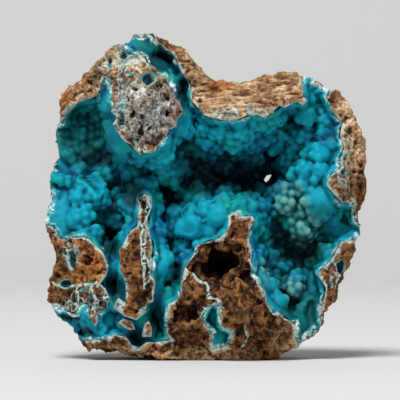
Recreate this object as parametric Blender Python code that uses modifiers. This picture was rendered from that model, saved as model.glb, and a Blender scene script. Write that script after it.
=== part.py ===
"""A hemimorphite specimen: blue-green botryoidal crust lining the hollows of a brown limonite matrix.

Run with: blender --background --python part.py

Frame: +Z is up, the broken open face looks towards -Y, and the origin is under the middle of the
specimen's box, on the surface that it stands on. The numbers in the lists are millimetres.
"""

import math
import random

import bmesh
import bpy
import numpy as np
from mathutils import Matrix, Vector, noise

MM = 0.001

# ---------------------------------------------------------------------------------------------
# Driving dimensions, in millimetres
# ---------------------------------------------------------------------------------------------
CENTRE_Z = 45.0  # height of the middle of the block, about which its outline is drawn
BACK_REACH = 30.0  # from the widest section to the back
FRONT_REACH = 38.0  # from the widest section to where the unbroken block would have ended
FULLNESS = 2.6  # power of the block's profile: 2 is an ellipse, more is boxier
ROUNDING = 0.9  # power that spreads the block's rings out: 1 spaces them evenly
NOTCHES_FADE_FROM = 0.35  # share of the way to the back or front where the notches start to fade
NOTCHES_FADE_POWER = 1.5  # how late they are gone
NOTCHES_BLUR = 0.9  # radians to either side over which the outline is evened out there
FOOT_X, FOOT_Y = 16.0, 19.0  # half sizes of the worn patch that it stands on
FOOT_BACK, FOOT_DROP = 7.0, 4.6  # how far back the patch lies, and how far it is let down

FACE_GRID = 3.5  # spacing of the grid that makes the broken face
HOLLOW_GRID = 4.7  # spacing of the grid that makes the bottom of the hollows
FACE_REACH = 3.6  # how far one depth sounding is felt on the broken face
HOLLOW_REACH = 4.2  # and in the hollows

BLOCK_DETAIL = 0.37  # share of the unbroken block's facets that are kept
FINE_OUTLINE = 5.0  # no facet this near to the outline's plane is thinned out

CRUST_GAP = 0.3  # between the matrix and the crust
CRUST_COAT = 1.35  # from the matrix to the crust's smooth parts
POCKET_COAT = 0.9  # the same in the small pocket
CRUST_VOXEL = 0.85  # grain at which the crust's knobs are fused
CRUST_DETAIL = 0.0095  # share of the fused crust's many small facets that are kept
LUMP_RISE = 0.05  # share of its radius by which a lump's middle lies behind the coat
STREWN_RISE = 0.1  # the same for a strewn knob

FLAT_ENOUGH = math.radians(1.5)  # neighbouring facets that differ by less are made one

# The helpers end at different depths, all clear of the block, so that no two ends coincide.
HOLLOW_FRONT = 60.0  # how far in front of the origin's plane the hollows' helper ends
FACE_FRONT = 66.0  # the same for the broken face's helper
WALL_REACH = 72.0  # how far the walls' helpers reach to the front and to the back
HELPER_HALF = 54.0  # half the width and the height of the helpers that are grids
COAT_ROOM = (100.0, 70.0, 100.0)  # size of the block in which the coat is worked out

WALLS = {
    "hanging_mass": (
        (-34.2, 89.7), (-26.3, 91.4), (-22.4, 86.9), (-20.2, 85.3), (-17.6, 85.3), (-16.2, 82.5),
        (-13.4, 80.8), (-11.2, 79.1), (-10.1, 76.6), (-9, 74.3), (-7.3, 71.8), (-5.9, 68.7),
        (-7.8, 67.1), (-9.8, 65.1), (-11.5, 62.6), (-12.9, 59.8), (-15.4, 58.1), (-18.5, 57.5),
        (-20.4, 59.2), (-22.1, 61.2), (-24.6, 63.4), (-25.5, 65.7), (-25.2, 68.5), (-25.8, 71.3),
        (-26, 74.1), (-26, 76.6), (-27.2, 78.5), (-28.8, 80.2), (-30.5, 81.3), (-34.2, 81.9),
    ),
    "left_brow": (
        (-43.7, 76.9), (-34.2, 83.6), (-30.5, 83), (-28.8, 80.8), (-28.6, 78.3), (-29.4, 76),
        (-30.8, 74.1), (-33, 73.2), (-35.8, 72.9), (-37.8, 71.8), (-39.5, 69.6), (-40.6, 67.1),
        (-43.7, 66.2),
    ),
    "crown": (
        (-15.7, 91.4), (-12.9, 88.9), (-9.8, 86.4), (-8.4, 83.9), (-6.7, 81.1), (-4.8, 78.5),
        (-3.6, 76.3), (-4.5, 74.1), (-3.9, 71.8), (-1.7, 69.9), (0.3, 68.5), (4.2, 67.3), (7.3, 67.6),
        (10.1, 67.9), (12.3, 68.7), (15.7, 68.2), (19.3, 69.3), (20.4, 71), (23.5, 71.8), (26, 72.4),
        (27.2, 71), (28, 73.2), (27.2, 75.7), (26.3, 77.1), (27.4, 78.5), (27.4, 84.1), (12.3, 85.5),
        (-1.7, 88.3), (-7.3, 93.9), (-15.7, 95.3),
    ),
    "right_rim": (
        (35, 77.4), (34.7, 74.9), (34.4, 72.7), (36.1, 69.3), (38.4, 66.2), (37.8, 63.7), (38.4, 60.3),
        (37.5, 56.7), (37.8, 54.2), (35.3, 51.9), (34.4, 49.7), (35, 47.7), (36.4, 45.2), (38.9, 43.8),
        (40.9, 44.9), (42, 41.6), (42.6, 37.7), (47.3, 37.7), (48.7, 58.9), (46.5, 72.9), (40.3, 78.5),
    ),
    "right_foot": (
        (42.6, 34.6), (40.9, 33.7), (38.4, 33.2), (37, 30.7), (35.6, 28.7), (33.6, 25.9), (31.9, 25.3),
        (32.5, 22.5), (33.6, 18.9), (33.3, 16.9), (32.2, 15.3), (31.4, 13), (32.5, 10.8), (38.9, 11.9),
        (46.5, 25.3), (46.5, 34.6),
    ),
    "central_mass": (
        (8.7, 40.7), (13.7, 39.6), (14.3, 38.5), (12.3, 37.1), (12, 34.6), (12.3, 32.1), (12.9, 29.3),
        (12.6, 26.2), (13.4, 23.1), (15.7, 19.7), (16.8, 16.9), (19, 13.9), (22.1, 12.2), (25.2, 9.7),
        (25.2, 6.6), (26, 4.1), (29.1, -4.1), (-10.1, -4.1), (-12.3, 2.9), (-9.8, 5.5), (-10.6, 8.5),
        (-10.4, 13), (-10.9, 16.4), (-8.1, 16.9), (-7, 20.6), (-6.2, 24.2), (-5.6, 27), (-2.5, 29.8),
        (-2.2, 32.3), (0.6, 32.9), (3.6, 33.7), (5.9, 36.3), (7, 40.2),
    ),
    "pillar": (
        (-17.4, 47.2), (-15.7, 45.5), (-15.1, 43.3), (-16, 41), (-16.2, 38.8), (-16.2, 36.3),
        (-15.1, 34), (-14.6, 31.5), (-15.1, 28.7), (-15.4, 26.7), (-15.1, 23.7), (-14.3, 20.6),
        (-13.7, 18.6), (-16, 16.7), (-16.8, 15), (-18.5, 13.3), (-20.2, 11.6), (-21.8, 12.2),
        (-23.2, 14.7), (-22.7, 17.2), (-21.8, 20), (-21.8, 22.3), (-23.5, 24.8), (-24.1, 26.7),
        (-24.4, 29.5), (-24.1, 31.5), (-22.1, 33.2), (-21.3, 36.3), (-19.3, 37.9), (-19, 41),
        (-18.8, 45.5),
    ),
    "left_mass": (
        (-49.3, 36), (-44, 37.7), (-42, 34.9), (-39.8, 34), (-36.1, 34), (-33.9, 34.6), (-31.9, 33.2),
        (-30.2, 30.9), (-28.3, 29.5), (-27.7, 26.7), (-28.3, 23.7), (-29.4, 21.7), (-28, 20),
        (-27.2, 17.5), (-28, 14.7), (-30, 13.3), (-30.5, 9.7), (-31.4, 8.3), (-32.2, 10.8),
        (-32.8, 13.6), (-32.8, 15.5), (-34.4, 15.5), (-35.8, 14.1), (-37.5, 13.3), (-39.8, 14.4),
        (-42.3, 14.7), (-49.3, 12.5),
    ),
    "floor_strip": (
        (-36.4, 4.9), (-32.2, 5.7), (-26.9, 5.7), (-25.5, 7.1), (-23.5, 7.1), (-22.1, 6.3),
        (-20.7, 4.3), (-19.6, 3.5), (-18.2, 3.8), (-15.7, 4.9), (-12.3, 5.2), (-9.5, 5.5),
        (-7.3, -3.2), (-38.1, -3.2),
    ),
    "lens": (
        (-24.4, 11.6), (-22.7, 11.9), (-20.2, 10.2), (-19.3, 7.7), (-21.6, 8.8), (-23.8, 10.2),
    ),
    "curl": (
        (-17.4, 10.2), (-16, 10.5), (-14.8, 9.1), (-16, 6.6), (-17.4, 6),
    ),
    "left_flap": (
        (-26, 14.7), (-24.9, 17.5), (-23.8, 17.8), (-23.5, 14.7),
    ),
}

FACE_SOUNDINGS = {
    "hanging mass": (
        (-18.5, 73, -21), (-24, 81, -16), (-15.5, 80, -17), (-8, 69.5, -16), (-17, 59, -17),
        (-24.5, 66, -17), (-29.5, 84, -9), (-27, 87.5, -6),
    ),
    "peak": (
        (-15.5, 91, -4), (-8.5, 87, -5), (-5, 82.5, -6),
    ),
    "ledge": (
        (-0.5, 78, -2), (12.5, 77.5, -2), (23.5, 80, -2), (1.5, 73.5, -9), (12.5, 73, -9),
        (23.5, 75.5, -8), (2.5, 68.5, -14), (11, 68.5, -14), (19.5, 70, -13), (27, 73, -9),
    ),
    "right rim": (
        (37.5, 73, -3), (40.5, 67.5, -5), (39, 59, -8), (41.5, 50.5, -5), (36, 49, -10), (39, 45, -9),
        (44, 59, 1), (44, 45, 1),
    ),
    "right foot": (
        (39, 31, -8), (34.5, 21, -10), (32.5, 17, -9), (31.5, 13, -8), (40, 25.5, -3),
    ),
    "central mass": (
        (9.5, 40.5, -10), (13.5, 39, -8), (6.5, 35, -13), (-1.5, 31.5, -13), (11, 31, -15),
        (3, 27.5, -3), (9.5, 21, -20), (-4.5, 25.5, -14), (-7.5, 17, -19), (-3.5, 12.5, -16),
        (4, 17, -22), (9.5, 11.5, -23), (18, 11.5, -19), (23.5, 7, -13), (4, 3, -15), (15, 3, -13),
        (-7.5, 3, -14), (22, 2.5, -6), (12.5, 0.5, -8), (-1.5, 0, -8),
    ),
    "pillar": (
        (-17, 46.5, -11), (-17, 36.5, -14), (-20, 31, -17), (-18.5, 22.5, -19), (-20, 15.5, -18),
        (-22.5, 10, -17), (-15.5, 8.5, -16), (-15, 19.5, -18),
    ),
    "left mass": (
        (-40.5, 33.5, -5), (-35.5, 32.5, -11), (-31, 29.5, -14), (-36.5, 25.5, -11), (-29.5, 24, -14),
        (-41.5, 28, -2), (-43.5, 19.5, -4), (-36.5, 18.5, -11), (-29.5, 18.5, -15), (-31, 11.5, -13),
        (-41, 15.5, -5),
    ),
    "floor strip": (
        (-32.5, 3.5, -9), (-25.5, 4.5, -12), (-20, 3, -12), (-13, 3, -13),
    ),
    "left brow": (
        (-39.5, 74.5, -2), (-35.5, 77, -4), (-31, 78.5, -6), (-36.5, 73, -6),
    ),
}

HOLLOW_SOUNDINGS = {
    "left chamber": (
        (-38, 68.5, 6), (-32.5, 70, 8), (-35.5, 61.5, 8), (-41, 61.5, 2), (-42.5, 53.5, -1),
        (-29.5, 64.5, 6), (-27.5, 73, 8), (-31, 54.5, 12), (-25.5, 48.5, 18), (-36.5, 53, 3),
        (-41, 47.5, -2), (-35.5, 43.5, -4), (-29.5, 40.5, -1), (-25, 41.5, 2), (-41, 38, -6),
        (-35.5, 36, -5), (-29, 33, 10), (-26.5, 34.5, 16), (-25, 27, 10), (-22, 38, 5),
        (-24, 19.5, 18), (-45, 42, -2),
    ),
    "top pocket": (
        (-18.5, 88.5, -1), (-14.5, 87, 0), (-14, 83.5, 14), (-11.5, 80, 9), (-8.5, 77, 3),
        (-5.5, 74.5, 1), (-7.5, 71.5, 12),
    ),
    "middle": (
        (-22, 54.5, 3), (-27, 53, 4), (-15.5, 56, 3), (-9.5, 57.5, 2), (-10.5, 53, 3), (-19.5, 49, 10),
        (-5.5, 61.5, 9), (-3, 66, -6), (2.5, 64.5, -7), (8, 64, -7), (13.5, 64.5, -5), (19.5, 65, 2),
        (2.5, 59, 7), (11, 59, 9), (-1.5, 54, 18), (-6.5, 47.5, 18), (-11.5, 40.5, 14),
        (-12.5, 45.5, 16), (5.5, 51, 22), (13, 50, 24), (16.5, 56, 15), (18, 48.5, 20),
    ),
    "behind the pillar": (
        (-11.5, 35, 9), (-13, 31, 3), (-11.5, 25, -1), (-8.5, 20.5, 12), (-12, 12.5, 17),
        (-13.5, 7, 12), (-18.5, 31, 8), (-18.5, 19.5, 8),
    ),
    "centre mound": (
        (-6, 41.5, -3), (-1.5, 39, -7), (2.5, 41.5, -4), (4.5, 37, -8), (-0.5, 34.5, -10),
        (-6, 33.5, -3), (-6.5, 29.5, -1), (-9, 37, 8), (-1, 46, 0), (9.5, 43.5, -1), (12.5, 42, 0),
    ),
    "beside the centre": (
        (15.5, 36, 5), (18, 31.5, 7), (18.5, 26.5, 5), (19.5, 22.5, 5), (15.5, 21.5, -3),
    ),
    "right chamber": (
        (25, 56, 5), (31.5, 59, -3), (35, 63, -3), (29, 63, 7), (26.5, 67.5, 13), (30.5, 69.5, 9),
        (31.5, 77, -3), (32.5, 73, 1), (31.5, 52, -3), (32, 47, -5), (25, 47.5, -1), (22.5, 45, -2),
        (20.5, 41.5, 3), (28.5, 43.5, 4), (27.5, 39, 1), (27, 35, 0), (36, 39, -4), (39, 41.5, 8),
        (40.5, 38, 8), (23.5, 59.5, 12), (21, 53.5, 17),
    ),
    "right deep": (
        (26.5, 27.5, 25), (22.5, 32, 18), (32, 31, 16), (36.5, 32.5, 0), (34, 28, -3), (31, 27, -4),
    ),
    "right floor": (
        (24.5, 21, 1), (23.5, 17, 2), (19.5, 16.5, 13), (29, 19.5, 1), (27.5, 14, -3), (29.5, 10, -6),
        (26.5, 6.5, -8), (22, 13.5, 7),
    ),
    "lower left": (
        (-38, 12, 6), (-34.5, 13.5, -5), (-33.5, 7, 4), (-27.5, 11, -5), (-24, 7, 6), (-20.5, 5.5, 8),
        (-29.5, 7, 0), (-17, 12.5, 2),
    ),
    "vein pocket": (
        (1.5, 13.5, -14), (3, 8.5, -15), (4.5, 5, -10),
    ),
    "open edges": (
        (-31, 84.5, -4), (-30, 80.5, -2), (-22, 90.5, -3), (31, 79.5, -5), (44.5, 37.5, -3),
        (44.5, 34, -3), (46, 41, -3), (-37.5, 9.5, -5), (-37, 5.5, -6), (32, 8, -8),
    ),
}

LUMPS = {
    "left wall": (
        (-38, 70.5, 1.4), (-35.5, 68, 1.7), (-32, 69.5, 1.7), (-37.5, 65, 1.7), (-34, 64, 1.7),
        (-30, 66, 1.4), (-40.5, 63, 1.7), (-36.5, 60, 1.7), (-32.5, 59.5, 1.4), (-41.5, 60, 1.4),
        (-39, 56.5, 1.7), (-43, 53.5, 2), (-42.5, 49.5, 1.7), (-41, 51.5, 1.4),
    ),
    "left mound": (
        (-36, 53, 1.7), (-34, 51, 1.7), (-35.5, 49, 1.7), (-40.5, 47, 2.5), (-37, 45, 2.5),
        (-33.5, 45.5, 2.2), (-31, 44, 2), (-28, 42.5, 1.7), (-25, 42.5, 1.7), (-23.5, 43.5, 1.1),
        (-28.5, 45.5, 1.4), (-43, 44, 1.7), (-42.5, 41, 2), (-39, 41, 2.2), (-35.5, 40.5, 2.2),
        (-31.5, 40, 1.7), (-27.5, 39.5, 1.7), (-24.5, 40, 1.4), (-41.5, 38, 1.7), (-37.5, 37.5, 2),
        (-33.5, 36.5, 2), (-30, 37, 1.7),
    ),
    "beside hanging mass": (
        (-27.5, 69.5, 1.4), (-27, 66, 1.7), (-27.5, 62.5, 2), (-26, 60, 1.7), (-29.5, 63.5, 1.4),
        (-28, 73, 1.4), (-24, 58.5, 1.7),
    ),
    "horn": (
        (-27.5, 53, 1.7), (-25, 54.5, 2), (-23, 55.5, 1.7), (-20.5, 56, 1.7), (-22.5, 52, 1.7),
        (-19.5, 53, 1.7),
    ),
    "middle knobs": (
        (-17.5, 56.5, 1.7), (-15.5, 54, 2), (-17.5, 51.5, 1.7), (-14, 56.5, 1.4), (-9.5, 59, 2.5),
        (-10.5, 54, 2.5), (-13, 51.5, 1.7), (-8, 61, 1.4), (-5.5, 64.5, 1.4),
    ),
    "roof": (
        (-3.5, 72, 2), (-3, 68.5, 2.5), (-0.5, 66, 2.5), (2, 65, 2.5), (5, 64.5, 2.2), (7.5, 65, 2.5),
        (10.5, 64.5, 2), (13, 65.5, 2.2), (15.5, 65.5, 1.7), (18, 66, 1.7), (21, 67.5, 1.7),
        (23.5, 69, 1.4), (-1.5, 62.5, 2), (1.5, 61, 2), (5.5, 61, 2), (9.5, 61, 2), (13.5, 61.5, 1.7),
        (0.5, 58, 1.7), (4, 57.5, 1.7), (8.5, 58, 1.7), (12.5, 58.5, 1.7), (17.5, 62.5, 1.7),
        (21, 64, 1.7), (-6, 75.5, 1.7), (-5, 73, 1.4), (-8.5, 79, 1.4),
    ),
    "top pocket": (
        (-19.5, 88, 1.4), (-17.5, 89, 1.4), (-15.5, 88.5, 1.7), (-13.5, 87, 1.7), (-12, 86, 1.4),
        (-16, 86, 1.1),
    ),
    "centre mound": (
        (-5.5, 42, 2.5), (-6.5, 39, 2.2), (-3.5, 40.5, 2.5), (-1.5, 43.5, 2), (-1, 46, 1.7),
        (-2, 37, 2.5), (1, 41, 2.2), (2, 37.5, 2.5), (4.5, 41, 2), (4, 37.5, 2), (0.5, 35, 2.2),
        (-4.5, 36, 2.2), (-5.5, 33, 2), (-6.5, 30, 2), (-2, 33.5, 1.7), (7.5, 44, 2), (10, 43.5, 2),
        (12.5, 42, 1.7), (5.5, 44, 1.7), (14, 41, 1.4),
    ),
    "pillar side": (
        (-12.5, 32.5, 2), (-12, 30, 2), (-13.5, 26.5, 2), (-11, 25.5, 2.2), (-12.5, 23, 2),
        (-9.5, 27.5, 1.7), (-21.5, 39, 1.7), (-22, 36, 1.7), (-25, 26, 2), (-25.5, 28.5, 1.4),
        (-12, 39, 1.7), (-13, 36, 1.4),
    ),
    "beside centre": (
        (14.5, 37.5, 1.7), (15.5, 35, 2), (17.5, 32.5, 2), (15.5, 31.5, 1.7), (18, 28.5, 2),
        (19, 26, 2), (19.5, 23, 2), (14.5, 25, 1.1), (15.5, 23, 1.1), (16.5, 21, 1.1),
    ),
    "right knobs": (
        (34.5, 63.5, 2.5), (32, 62.5, 1.7), (29, 64.5, 1.7), (27, 62.5, 1.7), (29.5, 60, 2),
        (25, 57.5, 2.2), (23, 59, 1.4), (26.5, 54.5, 1.7), (31.5, 58, 2.5), (34.5, 58.5, 2),
        (34, 55, 2), (30.5, 54.5, 2), (28, 52, 1.7), (31.5, 51, 2.2), (32, 47.5, 2.5),
        (29.5, 47.5, 1.7), (31, 77.5, 1.7), (32, 74.5, 1.7), (32.5, 71.5, 1.7), (29.5, 72, 1.4),
        (30, 68, 1.4),
    ),
    "pale knobs": (
        (24.5, 49.5, 2), (26.5, 48, 1.7), (22.5, 46.5, 2), (24, 44, 1.7), (21, 45, 1.4),
        (21.5, 42, 1.1), (26, 45.5, 1.7), (27.5, 43.5, 1.4), (28.5, 41.5, 2), (30, 39, 2), (27, 39, 2),
        (26, 36.5, 1.4), (28.5, 36, 1.7), (27, 33.5, 1.4), (25, 39, 1.1), (24.5, 22.5, 2),
        (26.5, 21, 1.7), (23.5, 20, 1.7), (23.5, 17, 1.4), (26, 17.5, 1.7),
    ),
    "right wall": (
        (36, 39.5, 2.5), (37, 37, 1.7), (34, 38, 1.7), (31, 27, 1.1), (32.5, 27.5, 1.1),
        (33, 21.5, 1.1), (38.5, 42.5, 1.1),
    ),
    "right floor": (
        (27, 13.5, 2.2), (29.5, 12, 2.2), (30.5, 9, 2), (27.5, 9, 2.5), (26, 6.5, 2),
        (23.5, 12.5, 1.4), (29.5, 15.5, 1.7),
    ),
    "lower left": (
        (-34.5, 14.5, 1.1), (-34, 12, 1.1), (-28.5, 12, 2), (-26.5, 13.5, 1.7), (-27.5, 9, 1.7),
        (-25, 14.5, 1.1), (-9.5, 18, 1.7), (-11, 17, 1.1),
    ),
}
SILHOUETTE = (
    (-17.1, 92.5), (-20.4, 90.9), (-21, 89.2), (-26, 88.3), (-26.6, 86.4), (-30.8, 83.6),
    (-31.4, 81.6), (-34.7, 79.7), (-35.6, 77.4), (-40.6, 75.5), (-41.7, 72.7), (-41.2, 66.8),
    (-42, 62.9), (-42, 59.5), (-40.9, 56.1), (-43.4, 54.2), (-43.7, 49.1), (-42.8, 44.9), (-44.5, 41),
    (-45.1, 37.7), (-44.5, 34), (-42.3, 32.6), (-42, 28.1), (-41.7, 25.9), (-43.1, 23.4),
    (-45.1, 19.7), (-44.8, 16.9), (-42.8, 15.5), (-41.4, 12.2), (-37.2, 9.4), (-35.8, 7.4),
    (-35.3, 4.6), (-31.4, 2.4), (-28, 3.2), (-25.8, 2.4), (-23.5, 3.5), (-19.9, 1.5), (-15.7, 2.1),
    (-12, 1.5), (-7.8, 1), (-5.6, 1.3), (-2.8, -0.1), (0, -0.1), (1.7, 1), (4.5, 0.7), (8.7, 1.3),
    (13.2, 0.7), (21.3, 1.5), (25.8, 4.3), (31.4, 7.7), (32.8, 10.8), (31.9, 13.3), (34.4, 14.7),
    (37, 20.3), (40, 24.8), (40.9, 28.1), (40.9, 32.6), (42.8, 34.9), (42.8, 41), (44.5, 45.2),
    (44.8, 51.7), (44.5, 61.7), (42, 67.9), (40, 72.9), (36.7, 75.2), (34.4, 74.1), (33.3, 77.1),
    (30.2, 79.4), (27.4, 78.8), (25.2, 81.1), (18.2, 80.8), (17.4, 78.5), (12.6, 78), (7, 77.1),
    (0.6, 78.5), (-3.1, 82.7), (-8.4, 86.9), (-8.7, 89.2), (-14.3, 91.1),
)

# A pocket with a crust of its own in the broken face of the central mass: its outline.
VEIN_POCKET = (
    (-1.2, 13.6), (0.6, 15.8), (3.2, 15.6), (4.0, 12.4), (4.2, 9.4), (7.4, 8.4), (6.4, 3.6),
    (1.4, 3.6), (1.6, 7.4), (-0.8, 10.6),
)

# Hollows in the broken face without a crust: x, z, width, height and depth.
BARE_HOLLOWS = {
    "cave": (4.6, 27.2, 11.0, 8.4, 9.0),
    "left_cave": (-5.9, 13.2, 7.5, 6.5, 3.6),
    "right_cave": (11.4, 24.6, 5.0, 7.0, 3.0),
    "low_cave": (9.4, 8.4, 4.6, 5.4, 2.8),
    "hanging_cave": (-12.6, 76.4, 4.0, 3.4, 2.6),
    "left_mass_cave": (-34.2, 27.8, 5.0, 3.6, 2.6),
}

# The light that shows through the back wall: a slit in it, from its middle.
SLIT = {
    "x": 18.0, "z": 51.5, "length": 4.4, "width": 1.5, "tilt": math.radians(-35), "depth": 120.0,
}

# Small knobs strewn over the bottom of the hollows between the large ones.
STREWN_KNOBS = 170
STREWN_RADII = (1.1, 2.1)
STREWN_X = (-44.0, 44.0)
STREWN_Z = (2.0, 92.0)
STREWN_SEED = 4

# Lumps and pits of the block's weathered outside, and of the broken face.
SKIN_GRAIN = 11.0
SKIN_DEPTH = 4.6
SKIN_LEAST = 0.12  # share of the relief that is left on the outline
SKIN_NOISE = (0.7, 2.1, 4)  # roughness, step between the layers' grains and number of layers
FACE_GRAIN = 7.0
FACE_ROUGHNESS = 1.1
FACE_NOISE = (0.6, 2.2, 3)
FACE_NOISE_PLANE = 3.0


# ---------------------------------------------------------------------------------------------
# Scene helpers
# ---------------------------------------------------------------------------------------------
def clear_scene():
    for obj in list(bpy.data.objects):
        bpy.data.objects.remove(obj)


def new_collection(name):
    collection = bpy.data.collections.new(name)
    bpy.context.scene.collection.children.link(collection)
    return collection


def add_object(name, mesh, collection):
    obj = bpy.data.objects.new(name, mesh)
    collection.objects.link(obj)
    return obj


def add_helper(name, mesh):
    """A cutter or a guide: it shows as a wire and isn't a piece of the specimen."""
    obj = add_object(name, mesh, CUTTERS)
    obj.hide_render = True
    obj.display_type = "WIRE"
    return obj


def mesh_from(bm, name):
    """A mesh of triangles, so that no Boolean is left to choose how an uneven quad is folded."""
    bmesh.ops.triangulate(bm, faces=bm.faces, quad_method="FIXED")
    bmesh.ops.recalc_face_normals(bm, faces=bm.faces)
    mesh = bpy.data.meshes.new(name)
    bm.to_mesh(mesh)
    bm.free()
    return mesh


def with_modifiers_applied(obj):
    """Replaces the object's mesh by what its modifiers make of it."""
    graph = bpy.context.evaluated_depsgraph_get()
    graph.update()
    mesh = bpy.data.meshes.new_from_object(obj.evaluated_get(graph))
    obj.modifiers.clear()
    obj.data = mesh
    return obj


def combine(obj, operation, other):
    """Cuts, joins or trims obj by another object, or by all the objects of a collection."""
    modifier = obj.modifiers.new(operation.title(), "BOOLEAN")
    modifier.solver = "EXACT"
    modifier.operation = operation
    if isinstance(other, bpy.types.Collection):
        modifier.operand_type = "COLLECTION"
        modifier.collection = other
    else:
        modifier.object = other
    return with_modifiers_applied(obj)


def principled(name, colour, roughness):
    material = bpy.data.materials.new(name)
    material.use_nodes = True
    shader = material.node_tree.nodes["Principled BSDF"]
    shader.inputs["Base Color"].default_value = (*colour, 1.0)
    shader.inputs["Roughness"].default_value = roughness
    shader.inputs["Metallic"].default_value = 0.0
    return material


# ---------------------------------------------------------------------------------------------
# Depths
# ---------------------------------------------------------------------------------------------
def all_of(groups):
    return np.array([point for points in groups.values() for point in points], float)


def sounded_depth(soundings, x, z, reach):
    """The depth at (x, z): the mean of the soundings, each weighted by how near it is."""
    square = ((soundings[:, 0] - x) ** 2 + (soundings[:, 1] - z) ** 2) / reach**2
    weight = np.exp(-0.5 * (square - square.min()))
    return float((weight * soundings[:, 2]).sum() / weight.sum())


def face_depth(x, z):
    """The depth of the broken face, with the small ledges and pits that no sounding gives."""
    rough = noise.fractal(Vector((x, FACE_NOISE_PLANE, z)) / FACE_GRAIN, *FACE_NOISE)
    return sounded_depth(all_of(FACE_SOUNDINGS), x, z, FACE_REACH) + FACE_ROUGHNESS * rough


def hollow_depth(x, z):
    """The depth of the hollows' bottom."""
    return sounded_depth(all_of(HOLLOW_SOUNDINGS), x, z, HOLLOW_REACH)


def depth_block(name, depth_at, spacing, nearer=0.0, front=HOLLOW_FRONT):
    """All that lies in front of a surface given by its depths, as one closed block."""
    bm = bmesh.new()
    segments = round(2 * HELPER_HALF / spacing)
    bmesh.ops.create_grid(bm, x_segments=segments, y_segments=segments, size=HELPER_HALF)
    for vertex in bm.verts:
        x, z = vertex.co.x, vertex.co.y + CENTRE_Z
        vertex.co = Vector((x, depth_at(x, z) - nearer, z)) * MM
    drawn = bmesh.ops.extrude_face_region(bm, geom=bm.faces[:])
    for item in drawn["geom"]:
        if isinstance(item, bmesh.types.BMVert):
            item.co.y = -front * MM
    return add_helper(name, mesh_from(bm, name))


# ---------------------------------------------------------------------------------------------
# The matrix
# ---------------------------------------------------------------------------------------------
def outline_radius():
    """A function that gives the block's outline radius for an angle about its middle."""
    points = np.array(SILHOUETTE) - (0.0, CENTRE_Z)
    angles = np.arctan2(points[:, 1], points[:, 0])
    order = np.argsort(angles)
    angles, radii = angles[order], np.hypot(points[:, 0], points[:, 1])[order]

    def radius_at(angle, blur=0.0):
        spread = angle + blur * np.linspace(-1.0, 1.0, 9)
        return float(np.interp(spread, angles, radii, period=2 * math.pi).mean())

    return radius_at


def foot_drop(x, y):
    """How far the underside is let down at (x, y), so that it has a patch to stand on."""
    inside = (x / FOOT_X) ** 4 + ((y - FOOT_BACK) / FOOT_Y) ** 4
    return FOOT_DROP * math.exp(-inside)


def unbroken_block():
    """The block before it was broken open: a sphere drawn out to the outline, rough outside."""
    radius_at = outline_radius()
    bm = bmesh.new()
    bmesh.ops.create_icosphere(bm, subdivisions=5, radius=1.0)
    for vertex in bm.verts:
        along = vertex.co.y
        angle = math.atan2(vertex.co.z, vertex.co.x)
        reach = BACK_REACH if along > 0 else FRONT_REACH
        away = math.asin(max(-1.0, min(1.0, along))) / (math.pi / 2)
        y = reach * math.copysign(abs(away) ** ROUNDING, away)
        width = max(0.0, 1 - abs(y / reach) ** FULLNESS) ** (1 / FULLNESS)
        fading = max(0.0, (abs(away) - NOTCHES_FADE_FROM) / (1 - NOTCHES_FADE_FROM))
        plain = fading**NOTCHES_FADE_POWER
        radius = (1 - plain) * radius_at(angle) + plain * radius_at(angle, NOTCHES_BLUR)
        radius *= width
        place = Vector((radius * math.cos(angle), y, radius * math.sin(angle)))
        rough = noise.fractal(place / SKIN_GRAIN, *SKIN_NOISE)
        place *= 1 + SKIN_DEPTH * rough * (SKIN_LEAST + abs(away)) / CENTRE_Z
        x, z = place.x, place.z + CENTRE_Z
        if z < CENTRE_Z:
            z -= foot_drop(x, place.y)
        vertex.co = Vector((x, place.y, z)) * MM
    block = add_helper("unbroken_block", mesh_from(bm, "unbroken_block"))
    far = block.vertex_groups.new(name="far_from_outline")
    thinned = [v.index for v in block.data.vertices if abs(v.co.y) > FINE_OUTLINE * MM]
    far.add(thinned, 1.0, "REPLACE")
    thin = block.modifiers.new("Thin", "DECIMATE")
    thin.ratio = BLOCK_DETAIL
    thin.vertex_group = far.name
    with_modifiers_applied(block)
    bm = bmesh.new()
    bm.from_mesh(block.data)
    bottom = bmesh.ops.bisect_plane(
        bm,
        geom=bm.verts[:] + bm.edges[:] + bm.faces[:],
        plane_co=(0, 0, 0),
        plane_no=(0, 0, -1),
        clear_outer=True,
    )
    rim = [item for item in bottom["geom_cut"] if isinstance(item, bmesh.types.BMEdge)]
    bmesh.ops.edgenet_fill(bm, edges=rim)
    block.data = mesh_from(bm, "unbroken_block")
    return block


def grown(outline, distance):
    """The outline moved outwards by a distance, corner by corner."""
    points = np.array(outline, float)
    before, after = np.roll(points, 1, axis=0), np.roll(points, -1, axis=0)
    area = (points[:, 0] * after[:, 1] - after[:, 0] * points[:, 1]).sum()
    side = math.copysign(1.0, area)

    def outward(start, end):
        along = end - start
        along /= np.linalg.norm(along, axis=1, keepdims=True)
        return side * np.stack([along[:, 1], -along[:, 0]], axis=1)

    normal = outward(before, points) + outward(points, after)
    normal /= np.linalg.norm(normal, axis=1, keepdims=True)
    return points + distance * normal


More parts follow.
